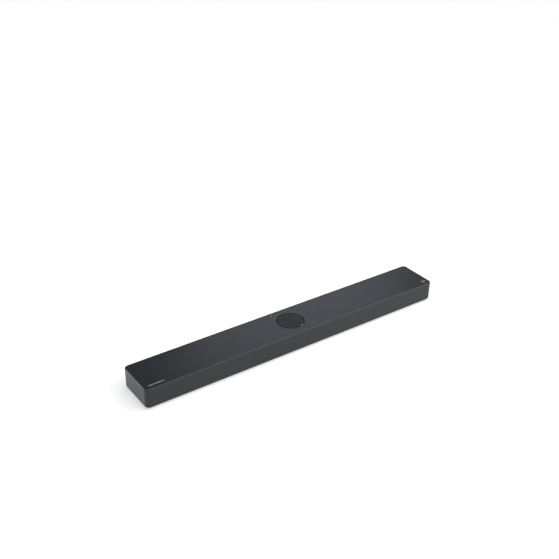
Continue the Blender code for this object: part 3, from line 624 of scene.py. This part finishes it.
def makeCentreRing():
    # Outer land, a slope down into a shallow channel, and a soft inner rim
    low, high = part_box("centre_ring")
    outer, inner = high.x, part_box("centre_grille")[1].x + bar["gap"]
    soft = ringShape["softEdge"]
    middle = high.z - ringShape["channelDepth"]
    profile = np.concatenate([
        [(outer, low.z)],
        arcPoints((outer - soft, high.z - soft), (soft, soft), 0, 90, 3),
        [(outer - ringShape["outerLand"], high.z), (outer - ringShape["slopeFoot"], middle),
         (inner + ringShape["innerLand"], middle)],
        arcPoints((inner + soft, middle - soft), (soft, soft), 90, 180, 3),
        [(inner, low.z)],
    ])
    return turnedPiece("centreRing", profile, disc["segments"], finishes["ringBlack"], looped=True,
                       replaces=("centre_ring",), slot="ring_plastic")


lens = {"angle": -66.0, "spread": 14.0, "width": 0.0014}


def arcBlock(name, radius, width, startDegrees, endDegrees, low, high, material, steps=24, **extra):
    # A bar with a softened top that follows an arc: section (radius, height) carried along the angle
    edge = min(width, high - low) * 0.25
    section = np.array([
        (-width / 2, low), (width / 2, low), (width / 2, high - edge), (width / 2 - edge, high),
        (-width / 2 + edge, high), (-width / 2, high - edge),
    ])
    angle = np.radians(np.linspace(startDegrees, endDegrees, steps + 1))[:, None]
    reach = radius + section[:, 0][None, :]
    height = np.broadcast_to(section[:, 1], (steps + 1, len(section)))
    points = np.stack([reach * np.cos(angle), reach * np.sin(angle), height], -1)
    faces = gridFaces(steps + 1, len(section), closeColumns=True).tolist()
    faces.append(list(range(len(section))))
    faces.append(list(range(steps * len(section), (steps + 1) * len(section))))
    return makePiece(name, points, faces, material, **extra)


def makeStatusLens():
    # A milky lens in the ring's channel; its light grey is partly the lens's own colour and partly a painted
    # glint on the ring
    low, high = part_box("status_lens")
    radius = (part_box("centre_ring")[1].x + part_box("centre_grille")[1].x) / 2
    half = lens["spread"] / 2
    return arcBlock("statusLens", radius, lens["width"], lens["angle"] - half, lens["angle"] + half,
                    low.z, high.z, finishes["milkyLens"], replaces=("status_lens",), slot="lens_plastic")


# Keys and their symbols

keyCap = {
    "radius": 0.0036,
    "segments": 48,
    "softEdge": 0.0003,
    "dish": 0.0001,
    "dishPoints": ((0.7, 0.6), (0.35, 0.95)),     # share of the radius, share of the dish's depth
    "stem": 0.0015,
    "stemHeight": 0.0026,
    "flangeDrop": 0.0043,     # from the cap's face down to the flange
    "flangeGrowth": 1.015,
    "pole": 0.0003,
}
symbolLook = {"stroke": 0.00075, "proud": 0.00006, "sunk": 0.0002, "unit": 0.001}


def ribbonParts(path, width, low, high):
    # A flat band of even width along a path of (x, y) points, as a closed bar
    path = np.array(path, float)
    step = np.gradient(path, axis=0)
    step /= np.linalg.norm(step, axis=1)[:, None]
    side = np.stack([-step[:, 1], step[:, 0]], -1) * width / 2
    left, right = path + side, path - side
    rows = [np.column_stack([edge, np.full(len(path), z)]) for edge, z in
            ((left, low), (right, low), (right, high), (left, high))]
    points = np.stack(rows, 1)
    faces = gridFaces(len(path), 4, closeColumns=True).tolist()
    faces += [[0, 1, 2, 3], list(range(4 * len(path) - 4, 4 * len(path)))]
    return points.reshape(-1, 3), faces


def ribbonPiece(name, strokes, width, low, high, material, facing="up", **extra):
    points, faces = joinShapes([ribbonParts(path, width, low, high) for path in strokes])
    return makePiece(name, turnTo(points, facing), faces, material, **extra)


def straight(x0, y0, x1, y1, steps=6):
    return np.linspace((x0, y0), (x1, y1), steps)


def ringStroke(radius, start, end, centre=(0.0, 0.0), steps=28):
    return arcPoints(centre, (radius, radius), start, end, steps)


def keySymbols():
    # Plain household symbols, drawn as strokes in millimetres round each key's middle
    return {
        "key_power": ([ringStroke(1.9, 125, 415), straight(0, 0.6, 0, 2.6)], "dimInk"),
        "key_source": ([straight(-2.3, 0, 0.9, 0), straight(-0.3, 1.3, 1.0, 0), straight(-0.3, -1.3, 1.0, 0),
                        straight(2.1, -2.0, 2.1, 2.0)], "keyInk"),
        "key_pairing": ([ringStroke(0.5, 0, 350), ringStroke(1.5, -50, 50), ringStroke(2.5, -50, 50),
                         ringStroke(1.5, 130, 230), ringStroke(2.5, 130, 230)], "dimInk"),
        "key_volume_down": ([straight(-2.2, 0, 2.2, 0)], "dimInk"),
        "key_play": ([straight(-1.5, -2.1, -1.5, 2.1), straight(-1.5, 2.1, 2.2, 0),
                      straight(2.2, 0, -1.5, -2.1)], "keyInk"),
        "key_volume_up": ([straight(-2.2, 0, 2.2, 0), straight(0, -2.2, 0, 2.2)], "keyInk"),
        "key_sound_mode": ([straight(-1.9, -1.2, -1.9, 1.2), straight(-0.65, -2.2, -0.65, 2.2),
                            straight(0.65, -1.7, 0.65, 1.7), straight(1.9, -0.8, 1.9, 0.8)], "dimInk"),
    }


def makeKeys():
    symbols = keySymbols()
    for name in keyNames:
        low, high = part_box(name)
        middle = (low + high) / 2
        centre, radius, soft = (middle.x, middle.y), keyCap["radius"], keyCap["softEdge"]
        flangeRadius = (high.x - low.x) / 2 * keyCap["flangeGrowth"]
        flangeTop, flangeBase = high.z - keyCap["flangeDrop"], low.z + keyCap["stemHeight"]
        stem, pole, depth = keyCap["stem"], keyCap["pole"], keyCap["dish"]
        profile = np.concatenate([
            [(pole, low.z), (stem, low.z), (stem, flangeBase), (flangeRadius, flangeBase),
             (flangeRadius, flangeTop), (radius, flangeTop)],
            arcPoints((radius - soft, high.z - soft), (soft, soft), 0, 90, 5),
            [(radius * across, high.z - depth * down) for across, down in keyCap["dishPoints"]],
            [(pole, high.z - depth)],
        ])
        shortName = name[4:].title().replace("_", "")
        turnedPiece("keyCap" + shortName, profile, keyCap["segments"], finishes["keyPaint"], centre,
                    body=name, replaces=(name,), slot="key_plastic")
        strokes, ink = symbols[name]
        paths = [np.array(stroke) * symbolLook["unit"] + np.array(centre) for stroke in strokes]
        ribbonPiece("keySymbol" + shortName, paths, symbolLook["stroke"], high.z - symbolLook["sunk"],
                    high.z + symbolLook["proud"], finishes[ink], body=name, slot="lens_plastic")


# Printed marks: plain bars at the two ends of the top

endMarks = {
    "left": [(-0.4715, 0.0110), (-0.4585, 0.0060), (-0.4505, 0.0150), (-0.4335, 0.0065)],   # start, length
    "leftY": -0.0470,
    "leftHeight": 0.0024,
    "rightX": (0.4585, 0.4625, 0.4665, 0.4705, 0.4745),
    "rightHeights": (0.0030, 0.0060, 0.0078, 0.0048, 0.0026),
    "rightY": -0.0450,
    "rightWidth": 0.0022,
}


def makeEndMarks():
    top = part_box("top_panel")[1].z
    low, high = top - symbolLook["sunk"], top + symbolLook["proud"]
    dashes = [straight(x, endMarks["leftY"], x + length, endMarks["leftY"]) for x, length in endMarks["left"]]
    ribbonPiece("leftEndMark", dashes, endMarks["leftHeight"], low, high, finishes["paleInk"],
                slot="lens_plastic")
    bars = [straight(x, endMarks["rightY"] - h / 2, x, endMarks["rightY"] + h / 2)
            for x, h in zip(endMarks["rightX"], endMarks["rightHeights"])]
    ribbonPiece("rightEndMark", bars, endMarks["rightWidth"], low, high, finishes["paleInk"],
                slot="lens_plastic")


makeFrontGrille()
makeTopSkin()
print("outer skins done")
makeCentreDisc()
makeCentreRing()
makeStatusLens()
print("centre disc done")
makeKeys()
makeEndMarks()
print("keys and marks done")


# Feet, screws and inserts

footShape = {
    "edge": 0.0008,
    "channel": 0.0030,
    "channelWidth": 0.0012,
    "channelDepth": 0.0005,
    "innerSlope": 0.0006,
    "outerSlope": 0.0002,
    "pole": 0.0004,
    "segments": 64,
}
screwShape = {
    "segments": 48,
    "socket": 0.00115,
    "socketDepth": 0.0011,
    "socketRim": 0.0004,
    "dome": 0.0003,
    "threadPitch": 0.0006,
    "threadDepth": 0.00018,
    "caseHead": 0.002,        # head height and shaft radius of a case screw
    "caseShaft": 0.0015,
    "floorPole": 0.0002,
    "tipPole": 0.0003,
}
insertShape = {"segments": 48, "bore": 0.002, "chamfer": 0.0004, "threadPitch": 0.0007, "threadDepth": 0.0002}


def makeFeet():
    edge, channel, width = footShape["edge"], footShape["channel"], footShape["channelWidth"]
    depth, slope = footShape["channelDepth"], footShape["outerSlope"]
    for node in [n for n in frame["nodes"] if n.startswith("foot_")]:
        low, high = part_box(node)
        middle = (low + high) / 2
        radius = (high.y - low.y) / 2
        run = (high.x - low.x) / 2 - radius
        profile = np.concatenate([
            [(footShape["pole"], depth), (radius - channel - width - footShape["innerSlope"], depth),
             (radius - channel - width, low.z), (radius - channel, low.z),
             (radius - channel + slope, depth), (radius - channel + width, depth),
             (radius - channel + width + slope, low.z)],
            arcPoints((radius - edge, low.z + edge), (edge, edge), 270, 360, 5),
            [(radius, high.z)],
        ])
        pieceName = "foot" + node[5:].title().replace("_", "")
        turnedPiece(pieceName, profile, footShape["segments"], finishes["footRubber"], (middle.x, middle.y),
                    run, replaces=(node,), slot="foot_rubber")


def screwProfile(headRadius, headHeight, shaftRadius, length):
    # From the socket's floor out over the head and along the threaded shaft, measured from the head's face
    socket, depth, dome = screwShape["socket"], screwShape["socketDepth"], screwShape["dome"]
    head = [(screwShape["floorPole"], depth), (socket, depth), (socket, dome / 4),
            (socket + screwShape["socketRim"], 0.0)]
    rim = arcPoints((headRadius - dome, dome), (dome, dome), 270, 360, 4).tolist()
    turns = int((length - headHeight) / screwShape["threadPitch"])
    ridge = np.arange(2 * turns + 1)
    shaft = np.stack([shaftRadius - screwShape["threadDepth"] * (ridge % 2),
                      headHeight + ridge * screwShape["threadPitch"] / 2], -1).tolist()
    return head + rim + [(headRadius, headHeight)] + shaft + [(screwShape["tipPole"], shaft[-1][1])]


def makeCaseScrews():
    for node in [n for n in frame["nodes"] if n.startswith("case_screw_")]:
        low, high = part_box(node)
        middle = (low + high) / 2
        profile = np.array(screwProfile((high.x - low.x) / 2, screwShape["caseHead"], screwShape["caseShaft"],
                                        high.z - low.z))
        profile[:, 1] += low.z
        turnedPiece("caseScrew" + node[-1], profile, screwShape["segments"], finishes["blackSteel"],
                    (middle.x, middle.y), sixSided=(1, 2), replaces=(node,), slot="screw_steel")


def makeInserts():
    for side in ("left", "right"):
        node = "bracket_insert_" + side
        low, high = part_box(node)
        middle = (low + high) / 2
        outer, bore, chamfer = (high.x - low.x) / 2, insertShape["bore"], insertShape["chamfer"]
        turns = int((high.y - low.y - 2 * chamfer) / insertShape["threadPitch"])
        ridge = np.arange(2 * turns + 1)
        thread = np.stack([bore + insertShape["threadDepth"] * (ridge % 2),
                           high.y - chamfer - ridge * insertShape["threadPitch"] / 2], -1)
        profile = np.concatenate([
            [(outer, low.y), (outer, high.y - chamfer / 2), (outer - chamfer / 2, high.y),
             (bore + chamfer, high.y)],
            thread, [(bore, low.y)],
        ])
        turnedPiece("bracketInsert" + side.title(), profile, insertShape["segments"], finishes["brass"],
                    (middle.x, middle.z), looped=True, facing="rear", replaces=(node,), slot="brass")


# Connector bay

bay = {
    "bezelWidth": 0.0016,
    "bezelProud": 0.0004,
    "contacts": 9,
    "contactPitch": 0.0011,
    "tongue": (0.0056, 0.00055, 0.0080),   # half width, half thickness, length
    "pinSpacing": 0.0086,
    "pinRadius": 0.0012,
    "pinLength": 0.0090,
    "pinRound": 0.001,
    "pinPole": 0.0002,
    "socketFloor": 0.0013,
    "tongueSoft": 0.0002,
    "contactHalf": 0.0003,
    "contactReach": 0.42,          # half length, as a share of the tongue's length
    "contactProud": 0.00006,
    "contactSunk": 0.0001,
    "contactSoft": 0.00004,
    "barrelRadii": (0.0030, 0.0027, 0.0014, 0.0011),
    "barrelHeights": (0.0033, 0.0036),
    "markWidth": 0.00055,
    "markProud": 0.00006,
    "markSunk": 0.0002,
    "slotMark": (0.0036, 0.0014, 0.0006),     # half width, half height, corner
    "slotMarkRise": 0.0045,
    "ringMark": (0.0018, 0.0004),             # ring and dot
    "ringMarkRise": 0.0040,
    "waveMark": (0.0036, 0.0011),             # half width, height
    "waveMarkRise": 0.0028,
    "screwPlaces": ((-0.076, 0.034), (-0.010, 0.034), (0.054, 0.0295), (0.102, 0.0295)),
    "screwRadius": 0.0026,
    "screwHead": 0.0014,
    "screwShaft": 0.0012,
    "screwLength": 0.0034,
    "socketProud": 0.0015,
}
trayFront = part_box("ac_inlet")[1].y - bay["socketProud"]     # the plate that the sockets come through


def makeBayBezel():
    # A slim raised frame round the mouth of the bay
    low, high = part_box("connector_tray")
    middle = (low + high) / 2
    halfX, halfZ = (high.x - low.x) / 2 + bar["gap"], (high.z - low.z) / 2 + bar["gap"]
    outer = roundedRectangle(halfX + bay["bezelWidth"], halfZ + bay["bezelWidth"], 0.0024,
                             (middle.x, middle.z), 8)
    inner = roundedRectangle(halfX, halfZ, 0.0008, (middle.x, middle.z), 8)
    points, faces = plateMesh(outer, [lambda inset: inner(-inset)], bar["halfDepth"] - 0.0004,
                              bar["halfDepth"] + bay["bezelProud"], 0.0003, softHoles=(0,))
    makePiece("bayBezel", turnTo(points, "rear"), faces, finishes["trayPlastic"], slot="case_plastic")


def makeSocketInsides():
    halfWidth, halfThick, length = bay["tongue"]
    for node, label in (("av_out_socket", "avOut"), ("av_in_socket", "avIn")):
        low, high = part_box(node)
        middle = (low + high) / 2
        back = low.y + bay["socketFloor"]
        platesPiece(label + "Tongue", [roundedRectangle(halfWidth, halfThick, 0.0003, (middle.x, middle.z))],
                    back, back + length, bay["tongueSoft"], finishes["socketBlack"], "rear",
                    slot="socket_plastic")
        places = middle.x + (np.arange(bay["contacts"]) - (bay["contacts"] - 1) / 2) * bay["contactPitch"]
        strips = [roundedRectangle(bay["contactHalf"], length * bay["contactReach"], 0.0001,
                                   (x, back + length * 0.5)) for x in places]
        platesPiece(label + "Contacts", strips, middle.z + halfThick - bay["contactSunk"],
                    middle.z + halfThick + bay["contactProud"], bay["contactSoft"],
                    finishes["goldContact"], slot="brass")
    low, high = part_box("optical_socket")
    middle = (low + high) / 2
    outer, outerLip, innerLip, inner = bay["barrelRadii"]
    shoulder, mouth = bay["barrelHeights"]
    barrel = [(outer, low.y + bay["socketFloor"]), (outer, low.y + shoulder), (outerLip, low.y + mouth),
              (innerLip, low.y + mouth), (inner, low.y + shoulder), (inner, low.y + bay["socketFloor"])]
    turnedPiece("opticalBarrel", barrel, 40, finishes["socketBlack"], (middle.x, middle.z), looped=True,
                facing="rear", slot="socket_plastic")
    low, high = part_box("ac_inlet")
    middle = (low + high) / 2
    radius, tip = bay["pinRadius"], low.y + bay["socketFloor"] + bay["pinLength"]
    pole, turn = bay["pinPole"], bay["pinRound"]
    pin = np.concatenate([
        [(radius, low.y + bay["socketFloor"])],
        arcPoints((pole, tip - turn), (radius - pole, turn), 0, 88, 6),
    ])
    for label, side in (("Left", -1), ("Right", 1)):
        turnedPiece("inletPin" + label, pin, 32, finishes["brushedMetal"],
                    (middle.x + side * bay["pinSpacing"] / 2, middle.z), facing="rear", slot="socket_metal")


def makeBayMarks():
    # Plain symbols over the sockets: a slot outline, a ring with a dot, and one wave
    marks = []
    for node in ("av_out_socket", "av_in_socket"):
        low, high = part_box(node)
        centre = ((low.x + high.x) / 2, high.z + bay["slotMarkRise"])
        outline = roundedRectangle(*bay["slotMark"], centre)(0.0)
        marks.append(np.concatenate([outline, outline[:2]]))
    low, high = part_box("optical_socket")
    centre = ((low.x + high.x) / 2, high.z + bay["ringMarkRise"])
    marks += [ringStroke(radius, 0, 352, centre) for radius in bay["ringMark"]]
    low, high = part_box("ac_inlet")
    along = np.linspace(-1, 1, 25)
    halfWidth, height = bay["waveMark"]
    marks.append(np.stack([(low.x + high.x) / 2 + along * halfWidth,
                           high.z + bay["waveMarkRise"] + height * np.sin(along * math.pi)], -1))
    ribbonPiece("bayMarks", marks, bay["markWidth"], trayFront - bay["markSunk"],
                trayFront + bay["markProud"], finishes["dimInk"], "rear", slot="lens_plastic")


def makeBayScrews():
    for index, place in enumerate(bay["screwPlaces"], start=1):
        profile = np.array(screwProfile(bay["screwRadius"], bay["screwHead"], bay["screwShaft"],
                                        bay["screwLength"]))
        profile[:, 1] = trayFront + bay["screwHead"] - profile[:, 1]
        turnedPiece("bayScrew" + str(index), profile, screwShape["segments"], finishes["blackSteel"], place,
                    facing="rear", sixSided=(1, 2), slot="screw_steel")


# Back and underside

vents = {
    "finCount": 26,
    "finPitch": 0.0050,
    "finHalf": (0.0010, 0.0110),
    "rearX": 0.2150,
    "underX": 0.2450,
    "proud": 0.0005,
}
label = {"half": (0.048, 0.016), "rows": (0.030, 0.022, 0.034, 0.018), "rowPitch": 0.0042, "rowWidth": 0.0009}


def ventGroup(name, centre, surface, facing):
    # A dark strip with a row of raised upright fins
    halfX, halfY = vents["finHalf"]
    reach = (vents["finCount"] - 1) / 2 * vents["finPitch"]
    strip = roundedRectangle(reach + 0.003, halfY + 0.002, 0.003, centre, 8)
    platesPiece(name + "Strip", [strip], surface - 0.0003, surface + 0.00012, 0.0001, finishes["ringBlack"],
                facing, slot="case_plastic")
    places = centre[0] + np.linspace(-reach, reach, vents["finCount"])
    fins = [roundedRectangle(halfX, halfY, halfX * 0.95, (x, centre[1]), 6) for x in places]
    platesPiece(name + "Fins", fins, surface - 0.0003, surface + vents["proud"], 0.0003,
                finishes["rearPlastic"], facing, slot="rear_plastic")


def makeVents():
    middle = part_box("bracket_insert_left")
    height = (middle[0].z + middle[1].z) / 2
    for side, sign in (("Left", -1), ("Right", 1)):
        ventGroup("rearVent" + side, (sign * vents["rearX"], height), bar["halfDepth"], "rear")
        ventGroup("underVent" + side, (sign * vents["underX"], 0.0), -bar["base"], "down")


def makeLabel():
    # A plate under the bar, with plain lines where the print would be
    surface = -bar["base"]
    platesPiece("underLabel", [roundedRectangle(*label["half"], 0.002, (0.0, 0.0), 8)], surface - 0.0002,
                surface + 0.00015, 0.0001, finishes["labelFilm"], "down", slot="case_plastic")
    left = -label["half"][0] + 0.008
    first = (len(label["rows"]) - 1) / 2 * label["rowPitch"]
    rows = [straight(left, first - i * label["rowPitch"], left + length, first - i * label["rowPitch"])
            for i, length in enumerate(label["rows"])]
    ribbonPiece("underLabelRows", rows, label["rowWidth"], surface, surface + 0.0002, finishes["dimInk"],
                "down", slot="lens_plastic")


makeFeet()
makeCaseScrews()
makeInserts()
print("feet, screws and inserts done")
makeBayBezel()
makeSocketInsides()
makeBayMarks()
makeBayScrews()
makeVents()
makeLabel()
print("back and underside done")


# Carried-over shapes

copies = {
    "rear_cover": ("rearCover", "rearPlastic", "rear_plastic"),
    "bottom_cover": ("bottomCover", "casePlastic", "case_plastic"),
    "connector_tray": ("connectorTray", "trayPlastic", "case_plastic"),
    "av_out_socket": ("avOutShell", "brushedMetal", "socket_metal"),
    "av_in_socket": ("avInShell", "brushedMetal", "socket_metal"),
    "optical_socket": ("opticalShell", "socketBlack", "socket_plastic"),
    "ac_inlet": ("acInletBody", "socketBlack", "socket_plastic"),
}
for node, (pieceName, finishName, slotName) in copies.items():
    smoothCopy(node, pieceName, finishes[finishName])

slotFinish = {
    "painted_mesh": "meshPaint", "disc_mesh": "discPaint", "ring_plastic": "ringBlack",
    "lens_plastic": "milkyLens", "rear_plastic": "rearPlastic", "case_plastic": "casePlastic",
    "key_plastic": "keyPaint", "board": "boardGreen", "heatsink_aluminium": "brushedMetal",
    "socket_metal": "brushedMetal", "socket_plastic": "socketBlack", "brass": "brass",
    "screw_steel": "blackSteel", "foot_rubber": "footRubber", "basket_steel": "basketPaint",
    "cone_paper": "conePaper", "surround_rubber": "surroundRubber", "tweeter_plastic": "socketBlack",
    "dome_silk": "domeSilk",
}
for part in frame["record"]["subparts"]:
    node = frame["nodes"][part["node"]]
    node.data.materials.clear()
    node.data.materials.append(finishes[slotFinish[part["material_slot"]]])
print("frame nodes finished:", len(frame["nodes"]))


# Floor, lights and camera

studio = {
    "floorSize": 24.0,
    "floorColour": (0.90, 0.90, 0.90),
    "floorGlow": 0.50,
    "worldStrength": 0.17,
    "horizonStrength": 1.0,
    "horizonBand": (0.02, 0.30),     # rise of the view, from the horizon's glow to the plain sky
    "dimSide": (-0.75, -0.65, 0.0),  # the side of the room that is left darker
    "dimStrength": 0.55,
    "worldColour": (0.95, 0.97, 1.0),
    "sun": {"direction": (0.25, -0.35, 1.0), "strength": 1.32, "angle": 70.0},
    "softboxes": {
        "rear": {"place": (1.33, 1.76, 1.42), "aim": (0.15, 0.0, 0.0), "size": (1.3, 0.8), "power": 5.2,
                 "colour": (0.86, 0.93, 1.0)},
        "end": {"place": (-1.5, 0.95, 0.10), "aim": (-0.48, 0.0, 0.03), "size": (0.8, 0.18), "power": 6.0,
                "colour": (1.0, 1.0, 1.0)},
        "edge": {"place": (1.25, -1.1, 1.5), "aim": (0.1, -0.06, 0.06), "size": (1.8, 0.35), "power": 10.0,
                 "colour": (1.0, 0.99, 0.98)},
    },
}


def makeFloor():
    # A wide flat sheet, with its upper face on the surface that the feet stand on
    half = studio["floorSize"] / 2
    x, y = np.meshgrid(np.linspace(-half, half, 9), np.linspace(-half, half, 9), indexing="ij")
    points = np.stack([x, y, np.zeros_like(x)], -1).reshape(-1, 3)
    mesh = bpy.data.meshes.new("studioFloor")
    mesh.from_pydata(points.tolist(), [], gridFaces(9, 9).tolist())
    paper = mouldedMaterial("floorPaper", tuple(c * 0.985 for c in studio["floorColour"]),
                            studio["floorColour"], (0.8, 0.9), 40.0, 0.00001, 1.5, specular=0.1)
    glow = paper.node_tree.nodes["Principled BSDF"].inputs
    glow["Emission Color"].default_value = (1.0, 1.0, 1.0, 1.0)
    glow["Emission Strength"].default_value = studio["floorGlow"]
    mesh.materials.append(paper)
    floor = bpy.data.objects.new("studioFloor", mesh)
    sceneRoot.collection.objects.link(floor)


def placeLamp(data, place, aim):
    lamp = bpy.data.objects.new(data.name, data)
    lamp.location = place
    lamp.rotation_euler = (Vector(aim) - Vector(place)).to_track_quat("-Z", "Y").to_euler()
    lamp.visible_camera = False
    sceneRoot.collection.objects.link(lamp)


def makeLights():
    world = bpy.data.worlds.new("studioWorld")
    world.use_nodes = True
    tree = world.node_tree
    background = tree.nodes["Background"]
    background.inputs["Color"].default_value = (*studio["worldColour"], 1.0)
    direction = addNode(tree, "ShaderNodeTexCoord").outputs["Generated"]
    upward = addNode(tree, "ShaderNodeSeparateXYZ")
    tree.links.new(direction, upward.inputs[0])
    strength = rangeNode(tree, upward.outputs["Z"], *studio["horizonBand"], studio["horizonStrength"],
                         studio["worldStrength"])
    facing = addNode(tree, "ShaderNodeVectorMath", operation="DOT_PRODUCT")
    facing.inputs[1].default_value = studio["dimSide"]
    tree.links.new(direction, facing.inputs[0])
    dimmer = rangeNode(tree, facing.outputs["Value"], 0.2, 1.0, 1.0, 1 - studio["dimStrength"])
    tree.links.new(mathNode(tree, "MULTIPLY", strength, dimmer), background.inputs["Strength"])
    # Seen directly, the room is a plain pale backdrop; what lights the bar is the room above
    backdrop = addNode(tree, "ShaderNodeBackground")
    backdrop.inputs["Color"].default_value = (1.0, 1.0, 1.0, 1.0)
    seen = addNode(tree, "ShaderNodeMixShader")
    tree.links.new(addNode(tree, "ShaderNodeLightPath").outputs["Is Camera Ray"], seen.inputs[0])
    tree.links.new(background.outputs[0], seen.inputs[1])
    tree.links.new(backdrop.outputs[0], seen.inputs[2])
    tree.links.new(seen.outputs[0], tree.nodes["World Output"].inputs["Surface"])
    sceneRoot.world = world
    for name, setting in studio["softboxes"].items():
        data = bpy.data.lights.new(name + "Softbox", "AREA")
        data.shape = "RECTANGLE"
        data.size, data.size_y = setting["size"]
        data.energy = setting["power"]
        data.color = setting["colour"]
        placeLamp(data, setting["place"], setting["aim"])
    data = bpy.data.lights.new("overheadSun", "SUN")
    data.energy = studio["sun"]["strength"]
    data.angle = math.radians(studio["sun"]["angle"])
    placeLamp(data, studio["sun"]["direction"], (0.0, 0.0, 0.0))


view = {
    "azimuth": -35.91,
    "elevation": 30.07,
    "distance": 2.6807,
    "target": (0.1372, 0.2463, 0.0338),
    "lens": 55.53,
    "roll": 1.25,
}


def makeCamera():
    azimuth, elevation, roll = (math.radians(view[k]) for k in ("azimuth", "elevation", "roll"))
    back = Vector((math.sin(azimuth) * math.cos(elevation), -math.cos(azimuth) * math.cos(elevation),
                   math.sin(elevation)))
    right = (-back).cross(Vector((0, 0, 1))).normalized()
    up = right.cross(-back)
    rolledRight = right * math.cos(roll) + up * math.sin(roll)
    rolledUp = up * math.cos(roll) - right * math.sin(roll)
    data = bpy.data.cameras.new("studioCamera")
    data.sensor_width = 36.0
    data.lens = view["lens"]
    camera = bpy.data.objects.new("studioCamera", data)
    turn = Matrix((rolledRight, rolledUp, back)).transposed().to_4x4()
    camera.matrix_world = Matrix.Translation(Vector(view["target"]) + back * view["distance"]) @ turn
    sceneRoot.collection.objects.link(camera)
    sceneRoot.camera = camera


makeFloor()
makeLights()
makeCamera()
sceneRoot.view_settings.view_transform = "Standard"
print("studio ready")
